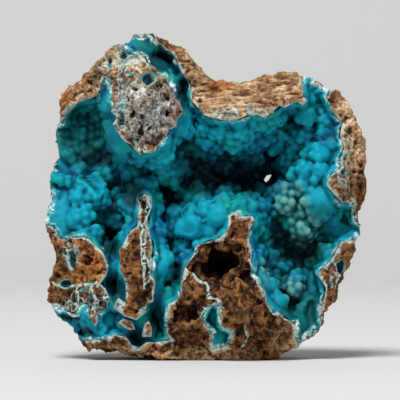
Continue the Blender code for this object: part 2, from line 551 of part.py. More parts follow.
def wall_prism(name, outline, collection, distance=0.0):
    """A wall of matrix between the hollows: its outline drawn through the whole block."""
    curve = bpy.data.curves.new(name, "CURVE")
    curve.dimensions = "2D"
    curve.fill_mode = "BOTH"
    curve.extrude = WALL_REACH * MM
    spline = curve.splines.new("POLY")
    points = grown(outline, distance)
    spline.points.add(len(points) - 1)
    for point, (x, z) in zip(spline.points, points):
        point.co = (x * MM, z * MM, 0.0, 1.0)
    spline.use_cyclic_u = True
    flat = add_object(name, curve, collection)
    flat.matrix_world = Matrix.Rotation(math.pi / 2, 4, "X")
    graph = bpy.context.evaluated_depsgraph_get()
    graph.update()
    mesh = bpy.data.meshes.new_from_object(flat.evaluated_get(graph))
    mesh.transform(flat.matrix_world)
    bpy.data.objects.remove(flat)
    bm = bmesh.new()
    bm.from_mesh(mesh)
    bmesh.ops.remove_doubles(bm, verts=bm.verts, dist=0.00001)
    wall = add_object(name, mesh_from(bm, name), collection)
    wall.hide_render = True
    wall.display_type = "WIRE"
    return wall


def hollow_space(name, nearer, distance):
    """The space in front of the hollows' bottom and between the walls."""
    walls = bpy.data.collections.new(name + "_walls")
    CUTTERS.children.link(walls)
    for wall, outline in WALLS.items():
        wall_prism(f"{name}_{wall}", outline, walls, distance)
    space = depth_block(name, hollow_depth, HOLLOW_GRID, nearer)
    return combine(space, "DIFFERENCE", walls)


def slit_cutter():
    """A narrow lens through the back wall."""
    bm = bmesh.new()
    bmesh.ops.create_cone(
        bm, cap_ends=True, segments=12, radius1=0.5, radius2=0.5, depth=SLIT["depth"] * MM
    )
    for vertex in bm.verts:
        vertex.co.x *= SLIT["width"] * MM
        vertex.co.y *= SLIT["length"] * MM
    turn = Matrix.Rotation(SLIT["tilt"], 4, "Y") @ Matrix.Rotation(math.pi / 2, 4, "X")
    place = Matrix.Translation(Vector((SLIT["x"], SLIT["depth"] / 2, SLIT["z"])) * MM)
    bmesh.ops.transform(bm, matrix=place @ turn, verts=bm.verts)
    return add_helper("slit", mesh_from(bm, "slit"))


# ---------------------------------------------------------------------------------------------
# The crust
# ---------------------------------------------------------------------------------------------
def knob_places():
    """(centre, radius) of every knob, in millimetres, on the bottom of the hollows."""
    places = []
    for x, z, radius in all_of(LUMPS):
        y = hollow_depth(x, z) - CRUST_COAT + LUMP_RISE * radius
        places.append((Vector((x, y, z)), radius))
    chance = random.Random(STREWN_SEED)
    for _ in range(STREWN_KNOBS):
        x, z = chance.uniform(*STREWN_X), chance.uniform(*STREWN_Z)
        radius = chance.uniform(*STREWN_RADII)
        y = hollow_depth(x, z) - CRUST_COAT + STREWN_RISE * radius
        places.append((Vector((x, y, z)), radius))
    return places


def coated_matrix():
    """The walls and the bottom of the hollows, fattened by the coat and set with its knobs."""
    bm = bmesh.new()
    for centre, radius in knob_places():
        matrix = Matrix.Translation(centre * MM)
        bmesh.ops.create_icosphere(bm, subdivisions=2, radius=radius * MM, matrix=matrix)
    knobs = add_helper("knobs", mesh_from(bm, "knobs"))
    fat_space = hollow_space("fat_space", CRUST_COAT, CRUST_COAT)
    room = bmesh.new()
    bmesh.ops.create_cube(room, size=1.0)
    for vertex in room.verts:
        corner = Vector([side * size for side, size in zip(vertex.co, COAT_ROOM)])
        vertex.co = (corner + Vector((0.0, 0.0, CENTRE_Z))) * MM
    coated = add_helper("coated_matrix", mesh_from(room, "coated_matrix"))
    combine(coated, "DIFFERENCE", fat_space)
    join_loose(coated, knobs)
    remesh = coated.modifiers.new("Fuse", "REMESH")
    remesh.mode = "VOXEL"
    remesh.voxel_size = CRUST_VOXEL * MM
    thin = coated.modifiers.new("Thin", "DECIMATE")
    thin.ratio = CRUST_DETAIL
    return with_modifiers_applied(coated)


def join_loose(obj, other):
    """Adds another object's mesh to obj's, as loose bodies."""
    bm = bmesh.new()
    bm.from_mesh(obj.data)
    bm.from_mesh(other.data)
    bm.to_mesh(obj.data)
    bm.free()


def largest_body(obj):
    """Drops every loose scrap but the largest body."""
    bm = bmesh.new()
    bm.from_mesh(obj.data)
    bodies = []
    unseen = set(bm.faces)
    while unseen:
        body = {unseen.pop()}
        edge_of_body = list(body)
        while edge_of_body:
            face = edge_of_body.pop()
            for neighbour in {f for edge in face.edges for f in edge.link_faces} & unseen:
                unseen.discard(neighbour)
                body.add(neighbour)
                edge_of_body.append(neighbour)
        bodies.append(body)
    keep = max(bodies, key=lambda body: sum(face.calc_area() for face in body))
    scraps = [face for face in bm.faces if face not in keep]
    bmesh.ops.delete(bm, geom=scraps, context="FACES")
    bmesh.ops.delete(bm, geom=[v for v in bm.verts if not v.link_faces], context="VERTS")
    bm.to_mesh(obj.data)
    bm.free()
    return obj


def bare_hollow(name, x, z, width, height, depth):
    """A rough egg-shaped cutter with its middle on the broken face."""
    bm = bmesh.new()
    bmesh.ops.create_icosphere(bm, subdivisions=2, radius=1.0)
    for vertex in bm.verts:
        vertex.co *= 1.0 + 0.4 * noise.noise(vertex.co * 1.7 + Vector((x, 0.0, z)))
    size = Matrix.Diagonal((width / 2 * MM, depth * MM, height / 2 * MM, 1.0))
    place = Matrix.Translation(Vector((x, face_depth(x, z), z)) * MM)
    bmesh.ops.transform(bm, matrix=place @ size, verts=bm.verts)
    return add_helper(name, mesh_from(bm, name))


def pocket_space(name, nearer, smaller):
    """The space in the vein pocket, from its bottom to far in front of the block."""
    space = depth_block(name, hollow_depth, HOLLOW_GRID, nearer)
    sides = wall_prism(name + "_sides", VEIN_POCKET, CUTTERS, -smaller)
    return combine(space, "INTERSECT", sides)


def named_part(obj, name, material):
    """Turns a worked-out helper into a piece of the specimen."""
    bm = bmesh.new()
    bm.from_mesh(obj.data)
    bmesh.ops.dissolve_limit(
        bm, angle_limit=FLAT_ENOUGH, verts=bm.verts, edges=bm.edges, use_dissolve_boundaries=False
    )
    bmesh.ops.triangulate(bm, faces=bm.faces)
    mesh = bpy.data.meshes.new(name)
    bm.to_mesh(mesh)
    bm.free()
    mesh.materials.clear()
    mesh.materials.append(material)
    bpy.data.objects.remove(obj)
    return add_object(name, mesh, SPECIMEN)


def recentre(parts):
    """Puts the origin under the middle of the specimen's box."""
    corners = np.array([vertex.co for part in parts for vertex in part.data.vertices])
    low, high = corners.min(axis=0), corners.max(axis=0)
    shift = Vector((-(low[0] + high[0]) / 2, -(low[1] + high[1]) / 2, -low[2]))
    for part in parts:
        part.data.transform(Matrix.Translation(shift))


# ---------------------------------------------------------------------------------------------
# Build
# ---------------------------------------------------------------------------------------------
clear_scene()
SPECIMEN = new_collection("hemimorphite_specimen")
CUTTERS = new_collection("cutters")
LIMONITE = principled("limonite", (0.19, 0.10, 0.05), 0.85)
HEMIMORPHITE = principled("hemimorphite", (0.10, 0.45, 0.47), 0.5)

BLOCK = unbroken_block()
broken_face = depth_block("broken_face", face_depth, FACE_GRID, front=FACE_FRONT)

space = hollow_space("matrix_space", 0.0, 0.0)
slit = slit_cutter()
rock = add_helper("rock", BLOCK.data.copy())
combine(rock, "DIFFERENCE", space)
combine(rock, "DIFFERENCE", broken_face)
combine(rock, "DIFFERENCE", slit)
combine(rock, "DIFFERENCE", pocket_space("pocket_space", 0.0, 0.0))
for hollow, place in BARE_HOLLOWS.items():
    combine(rock, "DIFFERENCE", bare_hollow(hollow, *place))
largest_body(rock)

crust = coated_matrix()
combine(crust, "INTERSECT", hollow_space("crust_space", CRUST_GAP, CRUST_GAP))
combine(crust, "DIFFERENCE", broken_face)
combine(crust, "DIFFERENCE", slit)
combine(crust, "INTERSECT", BLOCK)
largest_body(crust)

lining = pocket_space("lining", CRUST_GAP, CRUST_GAP)
combine(lining, "DIFFERENCE", pocket_space("opening", POCKET_COAT, POCKET_COAT))
combine(lining, "DIFFERENCE", broken_face)
largest_body(lining)

parts = [
    named_part(rock, "limonite_matrix", LIMONITE),
    named_part(crust, "hollow_crust", HEMIMORPHITE),
    named_part(lining, "vein_pocket_crust", HEMIMORPHITE),
]
recentre(parts)
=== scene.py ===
# %% [markdown]
# # A hemimorphite specimen
#
# The object is a block of brown limonite, the rusty rock that is left where an ore has weathered.
# It was broken open, and its hollows are lined with a blue-green crust of hemimorphite that grew as
# thousands of small round knobs. The solids that are loaded here give the main shapes and sizes.
# This script gives every surface its relief and its colours.

# %% Load the solids
import math
import random

import bmesh
import bpy
import numpy as np
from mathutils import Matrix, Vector, kdtree, noise
from mathutils.bvhtree import BVHTree


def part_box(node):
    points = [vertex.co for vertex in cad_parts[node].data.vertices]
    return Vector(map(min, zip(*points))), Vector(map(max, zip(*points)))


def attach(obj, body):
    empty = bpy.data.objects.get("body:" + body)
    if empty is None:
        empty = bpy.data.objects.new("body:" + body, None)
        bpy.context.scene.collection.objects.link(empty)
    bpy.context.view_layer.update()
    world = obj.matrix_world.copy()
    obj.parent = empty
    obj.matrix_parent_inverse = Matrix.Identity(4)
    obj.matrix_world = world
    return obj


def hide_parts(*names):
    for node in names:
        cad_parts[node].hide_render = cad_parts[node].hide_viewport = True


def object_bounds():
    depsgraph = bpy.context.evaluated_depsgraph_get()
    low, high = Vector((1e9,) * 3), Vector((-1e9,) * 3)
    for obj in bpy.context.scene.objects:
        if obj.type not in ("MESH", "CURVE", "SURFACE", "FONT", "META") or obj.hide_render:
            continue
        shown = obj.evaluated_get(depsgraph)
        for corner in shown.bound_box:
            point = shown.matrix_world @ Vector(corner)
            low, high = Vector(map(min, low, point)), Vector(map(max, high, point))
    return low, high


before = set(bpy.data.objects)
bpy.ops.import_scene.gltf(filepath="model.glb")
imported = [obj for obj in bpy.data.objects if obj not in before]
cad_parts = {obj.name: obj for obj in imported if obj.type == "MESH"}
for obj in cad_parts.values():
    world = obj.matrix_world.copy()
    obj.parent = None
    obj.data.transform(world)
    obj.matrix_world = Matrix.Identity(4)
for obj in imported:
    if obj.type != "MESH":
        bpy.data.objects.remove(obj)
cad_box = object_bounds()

MM = 0.001
# The noise is seeded, so that every run gives the same specimen.
noise.seed_set(5)
bpy.ops.object.select_all(action="DESELECT")
rock_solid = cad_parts["limonite_matrix"]
crust_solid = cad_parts["hollow_crust"]
pocket_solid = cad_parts["vein_pocket_crust"]
low, high = (Vector(corner) for corner in cad_box)
print("box of the solids in mm:", [[round(c / MM, 1) for c in corner] for corner in cad_box])

# %% [markdown]
# ## Working on meshes
#
# Each piece starts as a copy of its solid. The copy is merged, because a loaded solid is loose
# triangles, and then rebuilt as an even skin by a voxel remesh. That fuses whatever overlaps, as a
# sculptor does with clay, and gives small faces everywhere for the relief to push about.

# %% Blend softly between two values


def smooth_step(value, start, end):
    """0 before start, 1 after end, and a soft change between."""
    t = np.clip((value - start) / (end - start), 0, 1)
    return t * t * (3 - 2 * t)


# %% Start a piece and rebuild it as an even skin


def finish_modifiers(obj):
    """Applies the modifiers, as the Apply button does."""
    bpy.context.view_layer.objects.active = obj
    for modifier in list(obj.modifiers):
        bpy.ops.object.modifier_apply(modifier=modifier.name)


def new_object(name, mesh):
    """An object in the scene that shows a mesh."""
    obj = bpy.data.objects.new(name, mesh)
    bpy.context.scene.collection.objects.link(obj)
    return obj


def start_piece(name, *solids):
    """A new object that holds merged copies of some solids."""
    bm = bmesh.new()
    for solid in solids:
        bm.from_mesh(solid.data)
    bmesh.ops.remove_doubles(bm, verts=bm.verts, dist=0.0001 * MM)
    mesh = bpy.data.meshes.new(name)
    bm.to_mesh(mesh)
    bm.free()
    return new_object(name, mesh)


def remesh(obj, size):
    """Rebuilds a mesh as one even skin."""
    modifier = obj.modifiers.new("Even skin", "REMESH")
    modifier.mode = "VOXEL"
    modifier.voxel_size = size
    finish_modifiers(obj)


# %% Read, move and paint vertices


def places_of(obj):
    """The vertices' places as an array."""
    places = np.empty(len(obj.data.vertices) * 3)
    obj.data.vertices.foreach_get("co", places)
    return places.reshape(-1, 3)


def normals_of(obj):
    """The vertices' normals as an array."""
    normals = np.empty(len(obj.data.vertices) * 3)
    obj.data.vertices.foreach_get("normal", normals)
    return normals.reshape(-1, 3)


def put_places(obj, places):
    """Moves the vertices, and keeps them in the box of the solids."""
    inside = np.clip(places, np.array(low), np.array(high))
    obj.data.vertices.foreach_set("co", inside.ravel())
    obj.data.update()


def paint(obj, name, values):
    """Stores one number a vertex, for a material to read."""
    attribute = obj.data.attributes.new(name, "FLOAT", "POINT")
    attribute.data.foreach_set("value", np.asarray(values, dtype=np.float32))


# %% Thin a mesh
# A flat or hidden spot needs few triangles. A vertex group says where edges may collapse first.
THIN_STEPS = 20


def triangles(obj):
    """How many triangles a mesh draws."""
    return sum(len(face.vertices) - 2 for face in obj.data.polygons)


def thin_out(obj, faces, weight):
    """Collapses edges until few enough triangles are left, first where weight is near 1."""
    print(obj.name, "triangles before thinning:", triangles(obj))
    group = obj.vertex_groups.new(name="Thin first")
    level = np.round(np.clip(weight, 1 / THIN_STEPS, 1) * THIN_STEPS).astype(int)
    for step in range(1, THIN_STEPS + 1):
        group.add(np.nonzero(level == step)[0].tolist(), step / THIN_STEPS, "REPLACE")
    modifier = obj.modifiers.new("Thin", "DECIMATE")
    modifier.ratio = faces / triangles(obj)
    modifier.vertex_group = group.name
    finish_modifiers(obj)
    obj.vertex_groups.clear()
    put_places(obj, places_of(obj))
    obj.data.shade_smooth()
    print(obj.name, "triangles:", triangles(obj))


# %% Measure what stands out


def heights(obj, rounds):
    """How far each vertex stands above its smoothed surroundings."""
    places = places_of(obj)
    edges = np.empty(len(obj.data.edges) * 2, dtype=np.int32)
    obj.data.edges.foreach_get("vertices", edges)
    a, b = edges.reshape(-1, 2).T
    count = np.bincount(a, minlength=len(places)) + np.bincount(b, minlength=len(places))
    smooth = places.copy()
    for _ in range(rounds):
        total = np.empty_like(smooth)
        for axis in range(3):
            total[:, axis] = np.bincount(a, smooth[b, axis], len(places))
            total[:, axis] += np.bincount(b, smooth[a, axis], len(places))
        smooth = 0.5 * smooth + 0.5 * total / count[:, None]
    return ((places - smooth) * normals_of(obj)).sum(axis=1)


# %% [markdown]
# ## Feeling for the surfaces
#
# The relief depends on where a point lies: on the broken face, in a hollow or on the outside. A
# tree of triangles answers such questions quickly, because it finds what a ray meets first and
# which surface is nearest.

# %% Search trees over triangles and over points


def tree_of(*objects):
    """One search tree over the faces of several objects."""
    places = []
    faces = []
    for obj in objects:
        first = len(places)
        places += [vertex.co.copy() for vertex in obj.data.vertices]
        faces += [[first + i for i in face.vertices] for face in obj.data.polygons]
    return BVHTree.FromPolygons(places, faces)


def point_tree(places):
    """A search tree over points."""
    tree = kdtree.KDTree(len(places))
    for i, place in enumerate(places):
        tree.insert(place, i)
    tree.balance()
    return tree


def distances(tree, places, reach):
    """How far each place is from a tree's surface, and at most reach."""
    found = np.full(len(places), reach)
    for i, place in enumerate(places):
        hit = tree.find_nearest(place, reach)
        if hit[0] is not None:
            found[i] = hit[3]
    return found


rock_tree = tree_of(rock_solid)
crust_tree = tree_of(crust_solid, pocket_solid)

# %% Mark zones seen from the front
# All zones below are ovals, given in mm as x, z, half width and half height.
OVAL_EDGE = (0.7, 1.25)


def zone(places, *ovals):
    """1 inside any of the ovals, and 0 outside them, with soft edges."""
    most = np.zeros(len(places))
    for x, z, half_width, half_height in ovals:
        across = (places[:, 0] / MM - x) / half_width
        up = (places[:, 2] / MM - z) / half_height
        most = np.maximum(most, 1 - smooth_step(np.hypot(across, up), *OVAL_EDGE))
    return most


# %% Turn the slit
# A slit goes right through the back of a hollow. In the solids it leans to the left, and the pieces
# are turned about it so that it leans to the right, less and less away from it.
SLIT = (18.0, 51.5)
SLIT_TURN = math.radians(70)
SLIT_TURNED = (2.8 * MM, 6.5 * MM)


def from_slit(places):
    """How far each place is from the middle line of the slit through the back."""
    return np.hypot(places[:, 0] - SLIT[0] * MM, places[:, 2] - SLIT[1] * MM)


def with_turned_slit(obj):
    """Turns an object's vertices about the slit."""
    places = places_of(obj)
    turn = SLIT_TURN * (1 - smooth_step(from_slit(places), *SLIT_TURNED))
    across, up = places[:, 0] - SLIT[0] * MM, places[:, 2] - SLIT[1] * MM
    places[:, 0] += across * (np.cos(turn) - 1) + up * np.sin(turn)
    places[:, 2] += up * (np.cos(turn) - 1) - across * np.sin(turn)
    put_places(obj, places)


# %% [markdown]
# ## Where the rock is bare, and where it was broken
#
# The block broke along one rough face, through rock and crust alike. Two things are measured before
# anything is shaped: which of the rock is bare, and how deep the broken face lies everywhere. The
# crust then knows how far it is from its own edge, and how far forward it may reach.

# %% Find the bare rock
# The crust lies within about 0.3 mm of the rock that it covers, so rock farther away is bare. On
# the left one face of the rock is covered although its solid isn't, and it counts as covered.
ROCK_SKIN = 0.38 * MM
BARE_FROM = 0.75 * MM
COVERED = ((-40.5, 56.5, 8, 7),)

rock = start_piece("weathered_rock", rock_solid)
remesh(rock, ROCK_SKIN)
rock_places = places_of(rock)
rock_facing = normals_of(rock)
to_crust = distances(crust_tree, rock_places, 5.0 * MM)
covered = zone(rock_places, *COVERED) * (rock_facing[:, 1] < 0.3)
to_crust = to_crust * (1 - smooth_step(covered, 0.1, 0.6))
bare_places = rock_places[to_crust > BARE_FROM]
bare_tree = point_tree(bare_places)
print("rock vertices:", len(rock_places), "bare:", len(bare_places))


def from_bare(places):
    """How far each place is from the nearest bare rock."""
    return np.array([bare_tree.find(place)[2] for place in places])


# %% Map the broken face
# The broken face cuts rock and crust alike. Its depth is known where bare rock faces forwards, and
# is carried on smoothly across the hollows.
FACE_CELL = 1.0 * MM
FACE_BLUR = 2.0 * MM
LEAST_FACING = -0.2
CRUST_ON_ROCK = 1.0 * MM
INWARDS = Vector((0, 1, 0))
face_x = np.arange(low.x, high.x + FACE_CELL, FACE_CELL)
face_z = np.arange(low.z, high.z + FACE_CELL, FACE_CELL)


def bare_rock_depth(x, z):
    """How deep the bare broken rock lies at (x, z), or None where crust or nothing is met."""
    start = Vector((x, low.y - 1 * MM, z))
    on_rock = rock_tree.ray_cast(start, INWARDS)
    on_crust = crust_tree.ray_cast(start, INWARDS)
    if on_rock[0] is None or on_rock[1].y > LEAST_FACING:
        return None
    if on_crust[0] is not None and on_crust[3] < on_rock[3] + CRUST_ON_ROCK:
        return None
    return on_rock[0].y


def mapped_face():
    """Depths of the broken face on a grid, carried on smoothly across the hollows."""
    known = []
    for x in face_x:
        for z in face_z:
            depth = bare_rock_depth(x, z)
            if depth is not None:
                known.append((x, z, depth))
    known = np.array(known)
    depths = np.zeros((len(face_x), len(face_z)))
    for i, x in enumerate(face_x):
        square = (known[:, 0][None] - x) ** 2 + (known[:, 1][None] - face_z[:, None]) ** 2
        square = square / FACE_BLUR**2
        weight = np.exp(-0.5 * (square - square.min(axis=1, keepdims=True)))
        depths[i] = (weight * known[:, 2]).sum(axis=1) / weight.sum(axis=1)
    print("face points:", len(known), "depths in mm:", depths.min() / MM, depths.max() / MM)
    return depths


face_depths = mapped_face()


def face_at(x, z):
    """The mapped depth of the broken face at arrays x and z, read between the grid's points."""
    across = np.clip((x - face_x[0]) / FACE_CELL, 0, len(face_x) - 1.001)
    up = np.clip((z - face_z[0]) / FACE_CELL, 0, len(face_z) - 1.001)
    i, j = across.astype(int), up.astype(int)
    s, t = across - i, up - j
    lower = face_depths[i, j] * (1 - s) + face_depths[i + 1, j] * s
    upper = face_depths[i, j + 1] * (1 - s) + face_depths[i + 1, j + 1] * s
    return lower * (1 - t) + upper * t


# %% [markdown]
# ## How open each spot is
#
# Little light reaches the back of a hollow, and the materials paint shade where a spot sees little
# of the outside. How much it sees is worked out on a coarse skin, with a few rays a spot, and
# handed on to the fine meshes.

# %% Look around from coarse spots
LOOKS = 28


def look_around(skin, *solids):
    """A search tree of coarse spots, and how open each of them is."""
    coarse = start_piece("coarse", *solids)
    remesh(coarse, skin)
    chance = random.Random(11)
    spots = places_of(coarse)
    facing = normals_of(coarse)
    everything = tree_of(coarse)
    shares = []
    for spot, normal in zip(spots, facing):
        normal = Vector(normal)
        start = Vector(spot) + normal * 0.4 * skin
        clear = 0
        for _ in range(LOOKS):
            aim = Vector([chance.gauss(0, 1) for _ in range(3)]).normalized() + normal * 1.01
            clear += everything.ray_cast(start, aim.normalized())[0] is None
        shares.append(clear / LOOKS)
    bpy.data.objects.remove(coarse)
    return point_tree(spots), np.array(shares)


def openness(places, tree, shares):
    """How open each place is, averaged over the nearest coarse spots."""
    found = np.empty(len(places))
    for i, place in enumerate(places):
        near = [index for _, index, _ in tree.find_n(place, 4)]
        found[i] = shares[near].mean()
    return found


# %% [markdown]
# ## Wandering seams
#
# The solids are cut straighter than rock breaks. A smooth field shakes rock and crust alike near
# their seams, so that the seams wander but stay shut.

# %% Shake everything alike
WARP_GRAIN = 3.2 * MM
WARP = 0.95 * MM
WARP_RIPPLE = 0.8


def warped(places, share):
    """The places, moved by the field as far as share says for each."""
    moved = places.copy()
    for i in np.nonzero(share > 0)[0]:
        spot = Vector(places[i]) / WARP_GRAIN
        push = noise.noise_vector(spot) + WARP_RIPPLE * noise.noise_vector(spot * 2.4)
        moved[i] += WARP * share[i] * np.array(push)
    return moved


# %% [markdown]
# ## The crust
#
# Hemimorphite like this grew outwards from many points at once. Each point became a ball, and balls
# that met closed up into lumps like bunches of grapes. The same is done here. Rays are thrown into
# the hollows from the front. Where one meets the crust, and no other ball is too near, a ball is
# set. Large balls come first and small ones are set on them, and then all are fused.
#
# The block was broken after the crust had grown. So the crust's edge lies flush with the broken
# rock, a pale band as wide as the crust is thick, and behind the band the knobs fall away.

# %% How far forward the crust may reach
# Behind its flush edge the crust falls back, and farther back where dark voids lie in the hollows.
# Away from all bare rock its mounds may stand a little proud of the broken face.
VOIDS = (
    (-25.4, 19.8, 3.4, 3.8), (-13.7, 12.5, 2.6, 5.4), (-38.2, 12.6, 2.8, 1.8),
    (-27.2, 33.2, 2.8, 3.8), (-21, 47, 3.6, 4.4), (-7.7, 24.4, 2.4, 3.6), (-1.2, 51.6, 7, 6),
    (12.3, 52, 9, 6), (27.2, 30.6, 6, 4.4), (20.2, 35.5, 2.2, 5), (-13, 83.8, 4.2, 3.2),
    (-7.1, 74.4, 1.8, 5.4), (-20.2, 5.7, 2.6, 2.4), (-30.5, 57, 5, 3), (-33.6, 7.2, 2, 2),
)
EDGE = (1.6 * MM, 2.8 * MM)
FALL = 3.4 * MM
VOID_FALL = 5.0 * MM
COVER = 4.0 * MM
PROUD = 1.8 * MM
PROUD_FROM = (3.5 * MM, 9.0 * MM)


def front_limit(places, bare, room=0.0):
    """How far forward the crust may reach at each place, with room left for the balls or not."""
    flush = face_at(places[:, 0], places[:, 2])
    fall = FALL + room + VOID_FALL * zone(places, *VOIDS)
    fall = fall * smooth_step(bare, *EDGE) - COVER * zone(places, *COVERED)
    return flush + fall - (FALL + PROUD) * smooth_step(bare, *PROUD_FROM)


# %% Swell the crust and let its front fall away from its edge
# Swelling closes the crust's gap to the rock. Around the slit it shrinks, to keep the slit open.
BASE_SKIN = 0.55 * MM
SWELL = 0.36 * MM
SLIT_SHRINK = 0.6
SLIT_CALM = (2.4 * MM, 4.5 * MM)
BALL_ROOM = 1.3 * MM
THINNEST = 0.8 * MM


def crust_base(name, *solids):
    """The swollen crust without its balls, its front fallen away behind its edge."""
    crust = start_piece(name, *solids)
    remesh(crust, BASE_SKIN)
    with_turned_slit(crust)
    places = places_of(crust)
    calm = smooth_step(from_slit(places), *SLIT_CALM)
    swell = SWELL * ((1 + SLIT_SHRINK) * calm - SLIT_SHRINK)
    places += swell[:, None] * normals_of(crust)
    limit = front_limit(places, from_bare(places), BALL_ROOM)
    for i in np.nonzero(places[:, 1] < limit)[0]:
        behind = rock_tree.ray_cast(places[i], INWARDS, 8 * MM)
        if behind[0] is not None:
            limit[i] = min(limit[i], behind[0].y - THINNEST)
    places[:, 1] = np.maximum(places[:, 1], limit)
    put_places(crust, places)
    return crust


# %% [markdown]
# ### Where the balls go
#
# Only what the front can see needs knobs, so the rays start in front of the block and lean either
# way to reach under the ledges. A hit too near an earlier one is dropped. That gives even spacing
# with no pattern, as on the real crust, where growing knobs crowd each other out.

# %% Keep hits apart


class Spacing:
    """Remembers places in a grid of cells, to tell whether a new one is too near."""

    def __init__(self, distance):
        self.distance = distance
        self.cells = {}

    def free(self, place):
        """Whether a place is far enough from the others, and if so, keeps it."""
        i, j, k = (int(math.floor(c / self.distance)) for c in place)
        for a in (i - 1, i, i + 1):
            for b in (j - 1, j, j + 1):
                for c in (k - 1, k, k + 1):
                    for other in self.cells.get((a, b, c), ()):
                        if (other - place).length < self.distance:
                            return False
        self.cells.setdefault((i, j, k), []).append(place)
        return True


# %% Throw rays from the front
# A ray that meets rock first is lost, unless the rock is the face that the crust covers.
LEAN = 62
IN_FRONT = 4 * MM


def thrown(count, spacing, target, seed, start_from):
    """Spaced hits on the crust, with their normals, by rays from in front of the broken face."""
    chance = random.Random(seed)
    taken = Spacing(spacing)
    left, right, bottom, top = start_from
    places, normals = [], []
    for _ in range(count):
        start = (chance.uniform(left, right), low.y - IN_FRONT, chance.uniform(bottom, top))
        start = Vector(start)
        side = math.radians(chance.uniform(-LEAN, LEAN))
        rise = math.radians(chance.uniform(-LEAN, LEAN))
        aim = Vector((math.sin(side), math.cos(side), math.sin(rise))).normalized()
        place, normal, _, distance = target.ray_cast(start, aim)
        blocked = rock_tree.ray_cast(start, aim)
        if place is None and blocked[0] is None:
            continue
        if blocked[0] is not None and (place is None or blocked[3] < distance - CRUST_ON_ROCK):
            if zone(np.array([blocked[0]]), *COVERED)[0] < 0.4:
                continue
            place, normal = blocked[:2]
        if taken.free(place):
            places.append(place)
            normals.append(normal if normal.dot(aim) < 0 else -normal)
    return np.array(places), np.array(normals)


# %% Fit balls to the pocket and the outline


def in_pocket(places):
    """Which places lie in the small vein pocket, whose lining is a piece of its own."""
    corner, far = (np.array(c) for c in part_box("vein_pocket_crust"))
    return ((places > corner - 1 * MM) & (places < far + 1 * MM)).all(axis=1)


def over_solids(x, z):
    """Whether the front view shows any solid at (x, z)."""
    start = Vector((x, low.y - 1 * MM, z))
    hits = [tree.ray_cast(start, INWARDS)[0] for tree in (rock_tree, crust_tree)]
    return any(hit is not None for hit in hits)


SHRINKS = (1, 0.8, 0.6, 0.4)
INSIDE = 0.85


def inside_outline(centre, radius):
    """The largest share of a ball's radius that stays inside the outline seen from the front."""
    for share in SHRINKS:
        reach = INSIDE * share * radius
        if all(
            over_solids(centre[0] + reach * math.cos(a), centre[2] + reach * math.sin(a))
            for a in [math.radians(45 * step) for step in range(8)]
        ):
            return share
    return 0.0


# %% Set a ball for each hit
# Where the crust is calm its knobs are lower, and small knobs half melt into smooth mounds.
CALM = (
    (-28, 10.5, 9, 6), (-4.4, 76, 3, 8), (27.5, 11.5, 6.5, 7.5), (32, 21, 3, 8), (37, 36.5, 4.5, 4),
    (3, 9.5, 5, 7),
)
MELTED = ((-0.5, 40, 10, 9), (31.5, 50, 4.5, 7))
MELT_UNDER = 1.8 * MM
CALM_SIZE, CALM_STAND, MELTED_STAND = 0.25, 0.6, 0.45
POCKET_SIZE = 0.35
BEHIND_LIMIT = 0.9
BARE_ROOM = 0.35 * MM
SLIT_ROOM = 2.3 * MM
SMALLEST = 0.4 * MM


def ball_sites(hits, radii, stand, seed):
    """A ball for each hit, sunk so that a share of it stands out, and small near bare rock."""
    places, normals = hits
    chance = random.Random(seed)
    radius = np.array([chance.uniform(*radii) for _ in places])
    radius *= 1 - CALM_SIZE * zone(places, *CALM)
    radius[in_pocket(places)] *= POCKET_SIZE
    out = stand * radius * (1 - CALM_STAND * zone(places, *CALM))
    if radii[1] < MELT_UNDER:
        out *= 1 - MELTED_STAND * zone(places, *MELTED)
    centres = places + normals * (out - radius)[:, None]
    limit = front_limit(centres, from_bare(centres))
    centres[:, 1] = np.maximum(centres[:, 1], limit + BEHIND_LIMIT * radius)
    radius = np.minimum(radius, from_bare(centres) - BARE_ROOM)
    radius = np.minimum(radius, from_slit(centres) - SLIT_ROOM)
    radius *= [inside_outline(centre, size) for centre, size in zip(centres, radius)]
    kept = radius > SMALLEST
    return centres[kept], radius[kept]


# %% Shape one ball and copy it
bpy.ops.mesh.primitive_ico_sphere_add(subdivisions=3, radius=1.0)
ball = bpy.context.active_object


def balls(name, sites):
    """One object with a copy of the ball at each (centre, radius)."""
    shape = places_of(ball)
    faces = np.array([list(face.vertices) for face in ball.data.polygons])
    centres, radii = sites
    places = (centres[:, None] + radii[:, None, None] * shape[None]).reshape(-1, 3)
    corners = (faces[None] + len(shape) * np.arange(len(radii))[:, None, None]).reshape(-1, 3)
    mesh = bpy.data.meshes.new(name)
    mesh.from_pydata(places.tolist(), [], corners.tolist())
    return new_object(name, mesh)


# %% Single lobes
# They are given as x, z and radius in mm. Smooth ones reach from the bottom of a hollow to the
# front, and rough ones get knobs of their own.
ROUGH_LOBES = (
    (23.3, 46, 3.8), (27.4, 36.8, 3.8), (25, 20.2, 3), (16.4, 25, 2.4),
    (-2.6, 45.6, 3.2), (-4.4, 37.6, 3.6), (3.6, 40.4, 3.8), (9, 42, 3.2),
)
SMOOTH_LOBES = (
    (-28.2, 11.2, 3.4), (-29.6, 8.8, 2.4), (-34.4, 13.2, 1.9), (-34, 10.8, 1.7),
    (-11.3, 28.3, 2.6), (-10.9, 24.8, 2.6), (-25.6, 25.2, 2.2),
)
LOBE_BEHIND = 1.3 * MM


